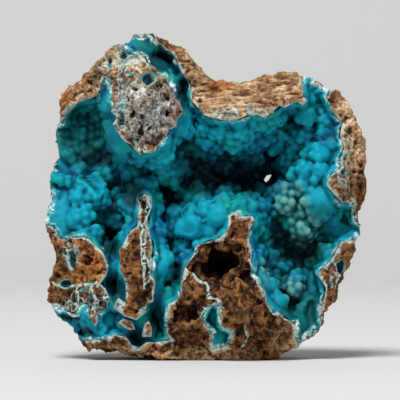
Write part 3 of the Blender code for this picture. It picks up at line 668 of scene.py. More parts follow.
def lobe_sites(base_tree, lobes, to_front):
    """Balls for single lobes: one on the crust, or a row from the crust to the front."""
    centres, radii = [], []
    for x, z, radius in np.array(lobes) * MM:
        foot = base_tree.ray_cast(Vector((x, low.y - 1 * MM, z)), INWARDS)[0]
        front = face_at(np.array([x]), np.array([z]))[0] + LOBE_BEHIND + radius
        depths = np.arange(front, foot.y, 0.7 * radius) if to_front else []
        for depth in (*depths, foot.y):
            centres.append((x, depth, z))
            radii.append(radius)
    centres, radii = np.array(centres), np.array(radii)
    return centres, np.minimum(radii, from_bare(centres) - BARE_ROOM)


# %% Throw all the balls, large ones first
# Each kind has its spacing, its radii, the share of a ball that stands out, how many rays are
# thrown, and a seed for the rays and one for the radii. The patch is the rock face on the left that
# the crust covers.
MOUNDS = (8.5 * MM, (4.0 * MM, 5.6 * MM), 0.5, 4000, 17, 19)
LUMPS = (4.2 * MM, (1.9 * MM, 3.2 * MM), 0.6, 9000, 3, 5)
KNOBS = (1.9 * MM, (0.95 * MM, 1.6 * MM), 0.72, 60000, 7, 9)
PATCH = (1.1 * MM, (1.0 * MM, 1.4 * MM), 0.5, 16000, 13, 15)
PATCH_FROM = (-50 * MM, -30 * MM, 47 * MM, 66 * MM)


def sites_of(kind, target, start_from=(low.x, high.x, low.z, high.z), only=None):
    """Balls of one kind on a target, or only those in some zones."""
    spacing, radii, stand, rays, ray_seed, size_seed = kind
    hits = thrown(rays, spacing, target, ray_seed, start_from)
    if only:
        kept = zone(hits[0], *only) > 0.3
        hits = tuple(part[kept] for part in hits)
    return ball_sites(hits, radii, stand, size_seed)


base = crust_base("crust_base", crust_solid, pocket_solid)
base_tree = tree_of(base)
patch_sites = sites_of(PATCH, base_tree, PATCH_FROM, COVERED)
mound_sites = sites_of(MOUNDS, base_tree)
rough_sites = lobe_sites(base_tree, ROUGH_LOBES, False)
smooth_sites = lobe_sites(base_tree, SMOOTH_LOBES, True)
mound_sites = tuple(np.concatenate(pair) for pair in zip(mound_sites, rough_sites))
mounds = balls("mounds", mound_sites)
lump_sites = sites_of(LUMPS, tree_of(base, mounds))
lumps = balls("lumps", lump_sites)
knob_sites = sites_of(KNOBS, tree_of(base, mounds, lumps))
for helper in (base, mounds, lumps):
    bpy.data.objects.remove(helper)
all_sites = (patch_sites, smooth_sites, mound_sites, lump_sites, knob_sites)
print("balls for the patch, smooth lobes, mounds, lumps and knobs:", end=" ")
print([len(radii) for _, radii in all_sites])

# %% [markdown]
# ### From balls to one crust
#
# The base and its balls are joined and fused by a fine remesh, which leaves the sharp creases that
# knobs have where they met. Near the crust's edge the fronts are then cut off flush with the broken
# face, as the break did, and what would stick through a thin wall of rock is drawn back. Numbers
# painted on the vertices tell the material where the crust is high, open, deep, pale or broken.

# %% Zones of the crust's colours
PALE_KNOBS = (
    (24, 44.6, 5, 5.4), (28, 36.6, 4.2, 4.6), (25, 20, 3.2, 3.2), (15.6, 23.6, 2.6, 4.2),
)
BRIGHT_LUMPS = (
    (-33, 43, 9.5, 7), (-1.5, 38, 8.5, 7.5), (-9.5, 55.5, 4, 4.5), (5, 65, 12, 3.5),
    (31.5, 52, 6, 9), (-11.2, 26, 3, 5.5), (-28.4, 10.6, 4, 4.6), (33, 78, 5, 5),
    (-34.3, 12.2, 2.3, 3.4), (-25.6, 25, 2.4, 2.6),
)
GREEN_LUMPS = (
    (-36, 63, 9, 9), (27, 38, 8, 12), (28, 12, 7, 7), (-14, 88, 6, 4),
)

# %% Clean up a fused crust
# Joined balls can leave loose scraps, and a ball's back can come out through a thin wall of rock.
SCRAP = 1200
WALL_REACH = 6.0 * MM
ON_CRUST = 0.8 * MM


def drop_scraps(obj):
    """Deletes the parts of a mesh that are loose and have few vertices."""
    bm = bmesh.new()
    bm.from_mesh(obj.data)
    bodies = []
    for vert in bm.verts:
        if vert.tag:
            continue
        vert.tag = True
        body = [vert]
        for member in body:
            for edge in member.link_edges:
                other = edge.other_vert(member)
                if not other.tag:
                    other.tag = True
                    body.append(other)
        bodies.append(body)
    scraps = [vert for body in bodies if len(body) < SCRAP for vert in body]
    bmesh.ops.delete(bm, geom=scraps, context="VERTS")
    bm.to_mesh(obj.data)
    bm.free()


def draw_back(places):
    """Draws what would stick through the rock's wall back to the crust's own back."""
    for i, place in enumerate(places):
        spot = Vector(place)
        near = crust_tree.find_nearest(spot, WALL_REACH)
        if near[0] is None or near[3] < ON_CRUST:
            continue
        if rock_tree.ray_cast(spot, near[0] - spot, near[3])[0] is not None:
            places[i] = near[0]


# %% Grow the crusts
# The pale section is as wide as the crust is thick, and lies near the broken face. The crust gets
# painted shade from 7 to 19 mm behind the face and in the voids, and is shaken like the rock mostly
# near its seam.
SKIN = 0.36 * MM
SECTION = (1.45 * MM, 1.85 * MM)
AT_FACE = (1.4 * MM, 3.0 * MM)
ON_ROCK = (0.35 * MM, 0.8 * MM)
LOOK_SKIN = 1.1 * MM
DEEP = (7 * MM, 19 * MM)
SEAM_SHAKE = (1.2 * MM, 4.0 * MM)
STILL = 0.85
CRUST_FACES = 190_000
POCKET_FACES = 12_000


def grown_crust(name, solid, pocket, faces):
    """A knobbly crust piece from a solid and the balls that belong to it."""
    crust = crust_base(name, solid)
    parts = []
    for centres, radii in all_sites:
        own = in_pocket(centres) == pocket
        parts.append(balls("parts", (centres[own], radii[own])))
    with bpy.context.temp_override(
        active_object=crust, selected_editable_objects=[crust] + parts
    ):
        bpy.ops.object.join()
    remesh(crust, SKIN)
    drop_scraps(crust)

    places = places_of(crust)
    draw_back(places)
    bare = from_bare(places)
    flush = face_at(places[:, 0], places[:, 2])
    foremost = flush - PROUD * smooth_step(bare, *PROUD_FROM) - COVER * zone(places, *COVERED)
    places[:, 1] = np.maximum(places[:, 1], foremost)
    put_places(crust, places)
    modifier = crust.modifiers.new("Melt the creases", "SMOOTH")
    modifier.factor = 0.5
    modifier.iterations = 1
    finish_modifiers(crust)

    places = places_of(crust)
    behind = distances(rock_tree, places, 1.0 * MM)
    hidden = 1 - smooth_step(behind, *ON_ROCK)
    at_face = 1 - smooth_step(places[:, 1] - flush, *AT_FACE)
    # open, deep and shade say where the material paints shade in the hollows.
    for painted, values in (
        ("height", heights(crust, 24) / MM), ("shade", zone(places, *VOIDS)),
        ("rim", at_face * (1 - smooth_step(bare, *SECTION))),
        ("open", openness(places, *look_around(LOOK_SKIN, rock_solid, crust))),
        ("deep", smooth_step(places[:, 1] - flush, *DEEP)), ("pale", zone(places, *PALE_KNOBS)),
        ("bright", zone(places, *BRIGHT_LUMPS)), ("green", zone(places, *GREEN_LUMPS)),
    ):
        paint(crust, painted, values)
    put_places(crust, warped(places, 1 - STILL * smooth_step(bare, *SEAM_SHAKE)))
    thin_out(crust, faces, hidden)
    return crust


crust = grown_crust("knobbly_crust", crust_solid, False, CRUST_FACES)
pocket = grown_crust("pocket_lining", pocket_solid, True, POCKET_FACES)
bpy.data.objects.remove(ball)

# %% [markdown]
# ## The rock
#
# Limonite is what is left of an ore that rusted away. It is cellular and crumbly where it was
# broken, layered near the top, and rounded and worn on the outside. A carver would work each part
# with its own tool. Here each kind of stone is a sum of noises that pushes the skin in or out, and
# zones say where each kind lies. Real relief catches the light as a bump in a material can't.

# %% Tell the broken face from the outside
# Each pair says from where to where a share goes from 0 to 1, or back.
BROKEN = (2 * MM, 6 * MM)
FRONTWARD = (-0.1, 0.35)
NEAR_FACE = (5 * MM, 11 * MM)
FREE_FROM = (0.35 * MM, 1.8 * MM)
COVERED_TO = (0.5 * MM, 1.0 * MM)

with_turned_slit(rock)
places, facing = places_of(rock), normals_of(rock)
behind_face = np.abs(places[:, 1] - face_at(places[:, 0], places[:, 2]))
on_face = 1 - smooth_step(behind_face, *BROKEN)
on_face *= smooth_step(-facing[:, 1], *FRONTWARD)
near_face = 1 - smooth_step(behind_face, *NEAR_FACE)
free = smooth_step(to_crust, *FREE_FROM)
hidden = 1 - smooth_step(to_crust, *COVERED_TO)
print("broken, free and hidden shares of the rock:", end=" ")
print([round(float(share.mean()), 2) for share in (on_face, free, hidden)])

# %% Zones with a relief of their own
# Grey boxwork, sheets of the layered ledge, small lined holes, the bare cave and the ribs below it.
grey = on_face * zone(places, (-16.6, 70.4, 8.6, 9))
layered = on_face * zone(places, (12, 74.5, 20, 9), (-4, 86, 6, 7))
vug = on_face * zone(
    places, (-38.2, 28.2, 1.3, 2.7), (-39.8, 21.3, 1.8, 1.3), (-15.9, 78.9, 2.1, 1.7),
    (38, 26, 1.3, 2), (-22.6, 86, 1.6, 1.2), (37.2, 60, 1, 2.2),
)
cave = zone(places, (4.6, 27, 9.5, 7.5)) * (places[:, 1] < 0)
ribbed = on_face * zone(places, (13.5, 20, 9, 13), (2, 17, 10, 9))
middle = on_face * zone(places, (8, 19, 20, 19))

# %% Zones with a colour of their own
# Ochre, tan and buff clays, dark iron oxide, and places where the crust's mineral got in.
orange = near_face * zone(
    places, (-41, 73, 3, 7), (-13.5, 80.5, 5, 2.2), (-34, 28.5, 4.5, 2.6), (4, 77, 4, 2.4),
    (-37, 33, 2, 2), (-23.5, 62, 2, 3), (-31.6, 26, 5, 5.5),
)
tan = near_face * zone(
    places, (13, 73.5, 17, 6.5), (40.7, 64, 5, 13), (-24, 86, 9, 6), (-35, 76, 8, 6),
    (-2, 86, 6, 7),
)
buff = near_face * zone(
    places, (26, 5, 8, 5), (-24, 2, 10, 2.6), (0, 1.5, 14, 2.4), (38, 47, 4, 8),
)
HALF_DARK = 0.55
darkest = zone(
    places, (4.5, 26.6, 8, 6), (-6, 13.5, 6, 7), (12, 12, 3.5, 6), (3, 18, 6, 5),
)
half_dark = zone(
    places, (-40, 24, 4, 9), (-33, 16.5, 8, 4), (36, 23, 3.5, 8), (-18, 28, 4, 12),
    (-19.5, 60, 4.5, 3.6), (39, 50, 5, 7), (17, 16, 8, 8),
)
dark = near_face * np.maximum(darkest, HALF_DARK * half_dark)
speckled = on_face * zone(
    places, (-24, 84.5, 7.5, 6.5), (-19.8, 59.5, 4, 3), (36.4, 41, 2.4, 3), (-17.3, 42, 2.5, 6),
    (10, 68.5, 12, 2.5), (38.5, 58, 2.5, 9), (-33, 17, 8, 5), (-17.5, 80.5, 7, 3.5),
    (-23.6, 70, 1.6, 8), (-13, 34, 1.6, 8), (-37.5, 30, 3, 4.5), (37, 22, 2.2, 6),
)

# %% Veins of the crust's mineral
# They run through the broken rock along these lines, given as x and z in mm.
VEINS = (
    ((-43, 21.6), (-40.5, 20.3), (-36.8, 21), (-33, 21.3), (-28.7, 21)),
    ((-36, 21), (-35.6, 17.5), (-35.8, 14.7)),
    ((-32.5, 21.2), (-30.8, 17.5), (-31.5, 14.5)),
    ((-18.1, 39), (-17.8, 32.8), (-17.5, 26.6), (-17.1, 20.3)),
    ((-16.3, 37.5), (-16.8, 31), (-15.9, 25), (-16.2, 21.5)),
    ((-2.4, 25), (0.1, 21.5), (0.8, 18.5), (3.8, 16), (4.5, 14)),
    ((10.7, 9.7), (11.7, 6.6), (9.5, 3.5)),
    ((-25.5, 82.6), (-21.5, 82.9), (-18, 84)),
    ((36.2, 27), (37.6, 24), (36.9, 20)),
    ((34.8, 43.5), (36.4, 41), (38.4, 40.6)),
    ((-39.3, 30.8), (-38, 29), (-36.9, 27.2)),
)
VEIN_HALF = (0.15, 0.6)


def from_line(places, line):
    """How far each place is from a drawn line, seen from the front, in mm."""
    spots = places[:, (0, 2)] / MM
    nearest = np.full(len(spots), 99.0)
    for a, b in zip(np.array(line[:-1]), np.array(line[1:])):
        share = np.clip(((spots - a) @ (b - a)) / ((b - a) @ (b - a)), 0, 1)
        nearest = np.minimum(nearest, np.linalg.norm(spots - a - share[:, None] * (b - a), axis=1))
    return nearest


vein = np.min([from_line(places, line) for line in VEINS], axis=0)
vein = (1 - smooth_step(vein, *VEIN_HALF)) * on_face

# %% [markdown]
# ### The relief of each kind of stone
#
# Each function below takes a spot in mm and gives a height in mm, so its numbers can be read as
# sizes: spot / 7.0 is noise with a grain of about 7 mm. Cells come from Voronoi noise, which gives
# the distance to the nearest of many scattered points, and ribs from noise that is stretched.

# %% Plain stone: lumps, pits, crumbs and jagged crests
JAGGED_MIDDLE = 1.2
FISSURE_HALF, FISSURE_DEPTH = 0.1, 7.0


def jags(spot):
    """Sharp crests of several sizes, half of them below 0."""
    return noise.ridged_multi_fractal(spot / 4.2, 0.9, 2.2, 4, 1.0, 2.0) - JAGGED_MIDDLE


def plain(spot, jagged, broken, middle):
    """Crumbly where it is broken, bolder in the middle mass, rounded and fissured outside."""
    lump = noise.noise(spot / 7.0) + 0.7 * noise.noise(spot / 3.0)
    near, _ = noise.voronoi(spot / 2.6)
    pit = max(0.0, 1 - near[0] / 0.5) ** 0.7 * smooth_step(noise.noise(spot / 6.5), -0.15, 0.25)
    crumb, _ = noise.voronoi(spot / 1.25 + Vector((7, 3, 5)))
    amount = (0.55 + 0.7 * (1 - broken) + 0.5 * middle) * lump
    amount += (0.35 + 0.5 * broken + 0.3 * middle) * jagged
    amount += 0.45 * (0.5 - crumb[0]) - broken * pit * (1 - 0.75 * middle)
    crack = abs(noise.noise(spot / 9.0 + Vector((3, 1, 4))))
    return amount - FISSURE_DEPTH * (1 - broken) * max(0.0, FISSURE_HALF - crack)


# %% Ribs, layers, strands and boxwork


def ribs(spot):
    """Long ribs that slant down to the right."""
    along, over = 0.57 * spot.x - 0.82 * spot.z, 0.82 * spot.x + 0.57 * spot.z
    rib = noise.noise(Vector((over / 1.6, spot.y / 4.0, along / 6.5)))
    return 1.5 * (0.35 - abs(rib)) - 0.2


def layers(spot):
    """Thin level sheets that sag a little and break off in steps."""
    sag = spot.z + 0.9 * noise.noise(spot / 6.0)
    sheet = noise.noise(Vector((spot.x / 5.5, spot.y / 2.6, sag / 0.95)))
    return sheet + 0.6 * noise.noise(Vector((spot.x / 2.4, spot.y / 1.4, sag / 0.5)))


def strands(spot):
    """Slanting strands on the cave's walls, which lie a little back."""
    return 1.1 * noise.noise(Vector((spot.x / 1.4, spot.y / 4.0, (spot.z + spot.x) / 5.0))) - 0.6


def boxwork(spot, jagged):
    """Slanting cells of uneven depth between rough walls."""
    slant = Vector(((spot.x - spot.z) / 3.4, spot.y / 3.0, (spot.x + spot.z) / 5.4))
    near, corners = noise.voronoi(slant + 0.8 * noise.noise_vector(spot / 2.6))
    depth = 2.6 * max(0.0, noise.noise(corners[0] * 2.7) + 0.25)
    cell = smooth_step(near[1] - near[0], 0.06, 0.3)
    rough = 0.8 * (0.5 - abs(noise.noise(spot / 2.2))) + 0.5 * jagged
    return 0.2 + rough - depth * cell


# %% Work out how far each spot of the rock moves
SHEET_HEIGHT, SHEET_FLATTENS = 1.2, 0.75
VUG_DEPTH = 1.9
VEIN_CALMS = 0.6
SLIT_RELIEF = (2.6 * MM, 5.0 * MM)
SLIT_SINKS, SLIT_SUNK = 0.35, (2.2 * MM, 3.2 * MM)
push = np.zeros(len(places))
for i in np.nonzero(free)[0]:
    spot = Vector(places[i]) / MM
    jagged = jags(spot)
    amount = plain(spot, jagged, on_face[i], middle[i])
    if ribbed[i] > 0:
        amount += ribbed[i] * ribs(spot)
    if layered[i] > 0:
        amount += layered[i] * (SHEET_HEIGHT * layers(spot) - SHEET_FLATTENS * amount)
    if cave[i] > 0:
        amount += cave[i] * strands(spot)
    if grey[i] > 0:
        amount = (1 - grey[i]) * amount + grey[i] * boxwork(spot, jagged)
    push[i] = amount - VUG_DEPTH * vug[i]
push = push * free * (1 - VEIN_CALMS * vein) * smooth_step(from_slit(places), *SLIT_RELIEF)
push -= SLIT_SINKS * (1 - smooth_step(from_slit(places), *SLIT_SUNK))
print("the rock moves in and out by, in mm:", round(push.min(), 1), round(push.max(), 1))

# %% Keep thin walls whole, and move the rock
# A thin wall isn't cut down to the crust behind it. Rock under the crust sinks a little, so that it
# can't show between the knobs.
THIN_WALL, LEAST_CUT, FRONT_FROM = 1.0, 0.1, 0.99
FROM_SEAM = (1.5 * MM, 4.0 * MM)
SINK = 0.4
CAVE_GRAIN, CAVE_BEND, CAVE_DEPTH = 4.0 * MM, 1.8 * MM, 0.4
INNER_FROM = (1.8 * MM, 3.8 * MM)
INNER_STILL, OUTSIDE_SHARE = 0.8, 0.4
thin_wall = -np.maximum(to_crust / MM - THIN_WALL, LEAST_CUT)
push = np.where(near_face < FRONT_FROM, np.maximum(push, thin_wall), push)
from_seam = smooth_step(from_bare(places), *FROM_SEAM)
push -= SINK * hidden * from_seam
moved = places + (push * MM)[:, None] * facing
for i in np.nonzero(cave)[0]:
    bend = noise.noise_vector(Vector(places[i]) / CAVE_GRAIN)
    moved[i] += CAVE_BEND * cave[i] * np.array((bend.x, CAVE_DEPTH * bend.y, bend.z))
inner = smooth_step(to_crust, *INNER_FROM) * (1 - OUTSIDE_SHARE * (1 - on_face))
put_places(rock, warped(moved, 1 - STILL * hidden * from_seam - INNER_STILL * inner))

# %% Paint the rock and thin it
ROCK_FACES = 195_000
ROCK_LOOK_SKIN = 1.6 * MM
BESIDE = (0.3 * MM, 2.0 * MM)
BACKWARD = (-0.2, 0.6)
BACK_THINS = 0.35
paint(rock, "height", heights(rock, 12) / MM)
paint(rock, "swell", heights(rock, 60) / MM)
around = look_around(ROCK_LOOK_SKIN, rock_solid, crust_solid, pocket_solid)
paint(rock, "open", openness(places, *around))
beside_crust = 1 - smooth_step(to_crust, *BESIDE)
for name, values in (
    ("grey", grey), ("orange", orange), ("tan", tan), ("buff", buff), ("dark", dark),
    ("worn", 1 - near_face), ("vein", vein), ("vug", vug), ("speckled", speckled),
    ("layered", layered), ("near_crust", near_face * beside_crust),
):
    paint(rock, name, values)
back = smooth_step(facing[:, 1], *BACKWARD) * (1 - on_face)
thin_out(rock, ROCK_FACES, np.maximum(hidden, BACK_THINS * back))

# %% [markdown]
# ## Materials
#
# Each material is built from what the real stuff is. It starts with a body colour that wanders a
# little, and then coats are laid over it one after another, as a model maker does with thin paint:
# each coat has a tint, and a mask that says where it goes and how thickly. The masks come from
# numbers that were painted on the meshes, such as how high a spot stands above its surroundings,
# and from noise whose grain is given in millimetres.

# %% Turn sRGB colours to linear ones


def linear(colour):
    """An sRGB hex colour as linear RGBA."""
    parts = [int(colour[i : i + 2], 16) / 255 for i in (1, 3, 5)]
    return [c / 12.92 if c <= 0.04045 else ((c + 0.055) / 1.055) ** 2.4 for c in parts] + [1.0]


# %% One function that adds a node
MATH = "ShaderNodeMath"
MIX = "ShaderNodeMix"
NOISE = "ShaderNodeTexNoise"
RAMP = "ShaderNodeValToRGB"
RANGE = "ShaderNodeMapRange"


def node(tree, kind, inputs=None, output=0, stops=(), **settings):
    """Adds a node and returns an output. Inputs are set, or linked where they are outputs."""
    made = tree.nodes.new(kind)
    for name, value in settings.items():
        setattr(made, name, value)
    for name, value in (inputs or {}).items():
        if isinstance(value, bpy.types.NodeSocket):
            tree.links.new(value, made.inputs[name])
        else:
            made.inputs[name].default_value = value
    while len(stops) > 2 and len(made.color_ramp.elements) < len(stops):
        made.color_ramp.elements.new(0.5)
    for i, (position, colour) in enumerate(stops):
        made.color_ramp.elements[i].position = position
        made.color_ramp.elements[i].color = linear(colour)
    return made.outputs[output]


# %% Start a material and lay coats on a colour


def coated(tree, colour, coats):
    """A colour under coats, each with a mask, how thick it is at most, and a tint."""
    for mask, strength, tint in coats:
        mask = node(tree, MATH, {0: mask, 1: strength}, operation="MULTIPLY")
        colour = node(tree, MIX, {0: mask, 6: colour, 7: linear(tint)}, output=2, data_type="RGBA")
    return colour


def new_material(name, *painted):
    """A material, its tree, its shader, its Object coordinates and the painted numbers it reads."""
    material = bpy.data.materials.new(name)
    material.use_nodes = True
    tree = material.node_tree
    shader = next(n for n in tree.nodes if n.type == "BSDF_PRINCIPLED")
    where = node(tree, "ShaderNodeTexCoord", output="Object")
    read = {
        name: node(tree, "ShaderNodeAttribute", output="Fac", attribute_name=name)
        for name in painted
    }
    return material, tree, shader, where, read


# %% [markdown]
# ### Botryoidal hemimorphite
#
# A zinc silicate, coloured by a little copper, that grew from water as radiating needles ending in
# round knobs. To the eye it is a deep blue-green that turns greener or paler from lump to lump. It
# could be made with light that sinks into it, but the crust is dense, and coats give its depth.

# %% Botryoidal hemimorphite: its body colour
crust_material, tree, shader, where, read = new_material(
    "botryoidal hemimorphite", "height", "rim", "open", "deep", "pale", "bright", "green", "shade"
)
height, rim = read["height"], read["rim"]
clouds = node(tree, NOISE, {"Vector": where, "Scale": 1 / (8 * MM), "Detail": 2.0})
body_stops = ((0.36, "#00678d"), (0.5, "#00869f"), (0.64, "#009692"))
colour = node(tree, RAMP, {0: clouds}, stops=body_stops)

# %% Botryoidal hemimorphite: painted highlights on knob tips, painted shade in creases and hollows
# The knobs' tips get a painted highlight, and their creases get painted shade. The hollows get
# painted shade, almost black, where little of the outside is seen, farther behind the face and in
# the voids, but not at the crust's broken edge. The pale knobs are paler in colour, with a painted
# highlight on their tips.
# Painted highlight on the knobs' tips.
tip_highlight = node(tree, RANGE, {0: height, 1: 0.05, 2: 0.5})
# Painted shade in the creases between knobs.
crease_shade = node(tree, RANGE, {0: height, 1: 0.0, 2: -0.3})
pale_skin = node(tree, RANGE, {0: height, 1: -0.2, 2: 0.25})
pale_skin = node(tree, MATH, {0: read["pale"], 1: pale_skin}, operation="MULTIPLY")
# The pale knobs' tips get a painted highlight.
pale_tip_highlight = node(tree, RANGE, {0: height, 1: 0.0, 2: 0.35})
pale_tip_highlight = node(tree, MATH, {0: read["pale"], 1: pale_tip_highlight}, operation="MULTIPLY")
# Painted shade where little of the outside is seen, deeper behind the face and in the voids.
shut = node(tree, RANGE, {0: read["open"], 1: 0.54, 2: 0.12})
depth = node(tree, MATH, {0: read["deep"], 1: 0.75}, operation="MULTIPLY")
shut = node(tree, MATH, {0: shut, 1: depth}, operation="ADD", use_clamp=True)
shade = node(tree, MATH, {0: read["shade"], 1: 0.85}, operation="MULTIPLY")
shut = node(tree, MATH, {0: shut, 1: shade}, operation="MAXIMUM")
not_rim = node(tree, MATH, {0: 1.0, 1: rim}, operation="SUBTRACT")
shut = node(tree, MATH, {0: shut, 1: not_rim}, operation="MULTIPLY")
colour = coated(tree, colour, (
    (read["green"], 1.0, "#02666a"), (read["bright"], 0.8, "#009bb4"), (pale_skin, 0.8, "#3d8783"),
    (tip_highlight, 0.28, "#24c2c6"), (crease_shade, 0.84, "#012632"), (shut, 0.92, "#01161d"),
    (pale_tip_highlight, 0.45, "#8db9aa"),
))

# %% Botryoidal hemimorphite: the broken edge and the skin
# The broken edge shows the pale needles end on, in a band that frays. The skin is satin and
# slightly sugary.
fray = node(tree, NOISE, {"Vector": where, "Scale": 1 / (0.9 * MM), "Detail": 3.0})
fray = node(tree, RANGE, {0: fray, 1: 0.38, 2: 0.5})
band = node(tree, MATH, {0: rim, 1: fray}, operation="MULTIPLY")
needles = node(tree, NOISE, {"Vector": where, "Scale": 1 / (2 * MM), "Detail": 2.0})
edge_stops = ((0.36, "#3f9fa6"), (0.48, "#9fcac6"), (0.58, "#e3ebe4"))
edge = node(tree, RAMP, {0: needles}, stops=edge_stops)
colour = node(tree, MIX, {0: band, 6: colour, 7: edge}, output=2, data_type="RGBA")
sugar = node(tree, NOISE, {"Vector": where, "Scale": 1 / (0.35 * MM), "Detail": 3.0})
bump = {"Height": sugar, "Strength": 0.35, "Distance": 0.15 * MM}
tree.links.new(colour, shader.inputs["Base Color"])
tree.links.new(node(tree, "ShaderNodeBump", bump), shader.inputs["Normal"])
shader.inputs["Roughness"].default_value = 0.6
shader.inputs["Specular IOR Level"].default_value = 0.15
print("nodes of the crust's material:", len(tree.nodes))

# %% [markdown]
# ### Weathered limonite
#
# Rusty iron oxide left by the weathering of ore: earthy brown and crumbly, with a patchy grain of
# several sizes, and thin flat sheets where it was laid down in layers. Noises of three sizes are
# added up to one grain, and every kind of stone takes its own colours from that same grain.

# %% Weathered limonite: its grain
rock_material, tree, shader, where, read = new_material(
    "weathered limonite", "height", "swell", "open", "worn", "tan", "buff", "orange", "dark",
    "grey", "layered", "speckled", "near_crust", "vein", "vug",
)
patch = node(tree, NOISE, {"Vector": where, "Scale": 1 / (5 * MM), "Detail": 3.0})
speck = node(tree, NOISE, {"Vector": where, "Scale": 1 / (1.0 * MM), "Detail": 3.0})
fine = node(tree, NOISE, {"Vector": where, "Scale": 1 / (0.45 * MM), "Detail": 2.0})
flat = node(tree, "ShaderNodeMapping", {"Vector": where, "Scale": (0.3, 0.5, 1.0)})
sheets = node(tree, NOISE, {"Vector": flat, "Scale": 1 / (0.9 * MM), "Detail": 2.0})
loose = 0.0
for size, share in ((patch, 0.35), (speck, 0.4), (fine, 0.25)):
    size = node(tree, MATH, {0: size, 1: share}, operation="MULTIPLY")
    loose = node(tree, MATH, {0: loose, 1: size}, operation="ADD")
in_sheets = node(tree, MATH, {0: read["layered"], 1: 0.4}, operation="MULTIPLY")
grain = node(tree, MIX, {0: in_sheets, 2: loose, 3: sheets})

# %% Weathered limonite: its kinds of stone
# The body is rust brown. There is orange ochre, tan clay in the pores, nearly black iron oxide, and
# grey-white silica where the cells of the old ore stayed open. The worn outside is tan or dark in
# broad patches. Each kind goes from a dark to a light colour with the grain.
broad = node(tree, NOISE, {"Vector": where, "Scale": 1 / (15 * MM), "Detail": 2.0})
kinds = {}
for kind, start, end, strength in (("tan", 0.48, 0.66, 0.8), ("dark", 0.46, 0.34, 0.7)):
    outside = node(tree, RANGE, {0: broad, 1: start, 2: end})
    outside = node(tree, MATH, {0: read["worn"], 1: outside}, operation="MULTIPLY")
    outside = node(tree, MATH, {0: outside, 1: strength}, operation="MULTIPLY")
    kinds[kind] = node(tree, MATH, {0: read[kind], 1: outside}, operation="MAXIMUM")
GRAIN = (0.4, 0.5, 0.6)
stones = (
    (None, 1.0, "#1c0b04", "#5e3417", "#ab733d"),
    (read["buff"], 1.0, "#4c3520", "#9e7a53", "#d9b88c"),
    (kinds["tan"], 1.0, "#5c3d25", "#b88e63", "#f2dcbd"),
    (read["layered"], 0.6, "#58371f", "#a57b55", "#ecd3b2"),
    (read["orange"], 0.8, "#55270a", "#a05d25", "#d29455"),
    (kinds["dark"], 0.85, "#150803", "#42230f", "#80532b"),
    (read["grey"], 1.0, "#3c3c37", "#8a8c86", "#e4e4de"),
)
for mask, strength, deepest, middle, lightest in stones:
    stops = tuple(zip(GRAIN, (deepest, middle, lightest)))
    stone = node(tree, RAMP, {0: grain}, stops=stops)
    if mask is None:
        colour = stone
        continue
    mask = node(tree, MATH, {0: mask, 1: strength}, operation="MULTIPLY")
    colour = node(tree, MIX, {0: mask, 6: colour, 7: stone}, output=2, data_type="RGBA")

# %% Weathered limonite: painted light on high spots, painted shade on low ones
# What stands out gets painted light. What lies low gets painted shade, a little less among the
# layers.
layer_shade_cut = node(tree, MATH, {0: read["layered"], 1: 0.45}, operation="MULTIPLY")
low_shade_share = node(tree, MATH, {0: 1.0, 1: layer_shade_cut}, operation="SUBTRACT")
# Painted light on high spots and painted shade on low ones, for small and for broad relief.
for measure, start, end, share, strength, tint in (
    ("height", 0.05, 0.45, 1.0, 0.26, "#bf8b52"), ("height", 0.0, -0.3, low_shade_share, 0.85, "#110702"),
    ("swell", 0.1, 1.0, 1.0, 0.24, "#c6965f"), ("swell", -0.1, -1.0, low_shade_share, 0.8, "#140904"),
):
    mask = node(tree, RANGE, {0: read[measure], 1: start, 2: end})
    mask = node(tree, MATH, {0: mask, 1: share}, operation="MULTIPLY")
    colour = coated(tree, colour, ((mask, strength, tint),))

# %% Weathered limonite: threads of the crust's mineral
# Hemimorphite also filled fine cracks in the rock. They show as a net of pale threads, drawn here
# as the walls between wandering cells, with small blue-green linings and specks.
drift = node(tree, NOISE, {"Vector": where, "Scale": 1 / (2.2 * MM)}, output="Color")
wander = {0: drift, 1: (2.2 * MM,) * 3, 2: where}
wandering = node(tree, "ShaderNodeVectorMath", wander, operation="MULTIPLY_ADD")
cells = {"Vector": wandering, "Scale": 1 / (2.6 * MM)}
walls = node(tree, "ShaderNodeTexVoronoi", cells, output="Distance", feature="DISTANCE_TO_EDGE")
walls = node(tree, RANGE, {0: walls, 1: 0.11, 2: 0.05})
gaps = node(tree, NOISE, {"Vector": where, "Scale": 1 / (3 * MM), "Detail": 2.0})
gaps = node(tree, RANGE, {0: gaps, 1: 0.4, 2: 0.5})
threads = node(tree, MATH, {0: walls, 1: gaps}, operation="MULTIPLY")
some_speckled = node(tree, MATH, {0: read["speckled"], 1: 0.85}, operation="MULTIPLY")
threads = node(tree, MATH, {0: threads, 1: some_speckled}, operation="MULTIPLY")
beside = node(tree, RANGE, {0: read["near_crust"], 1: 0.1, 2: 0.9})
specks = node(tree, RANGE, {0: fine, 1: 0.58, 2: 0.63})
specks = node(tree, MATH, {0: specks, 1: beside}, operation="MULTIPLY")
specks = node(tree, MATH, {0: specks, 1: 0.6}, operation="MULTIPLY")
threads = node(tree, MATH, {0: threads, 1: specks}, operation="MAXIMUM")
tints = node(tree, NOISE, {"Vector": where, "Scale": 1 / (1.8 * MM), "Detail": 2.0})
tints = node(tree, RAMP, {0: tints}, stops=((0.4, "#2f939b"), (0.5, "#93c4c0"), (0.6, "#dfe3da")))
colour = node(tree, MIX, {0: threads, 6: colour, 7: tints}, output=2, data_type="RGBA")
lining = node(tree, NOISE, {"Vector": where, "Scale": 1 / (2.4 * MM), "Detail": 2.0})
lining = node(tree, RANGE, {0: lining, 1: 0.62, 2: 0.66})
lining = node(tree, MATH, {0: lining, 1: read["speckled"]}, operation="MULTIPLY")
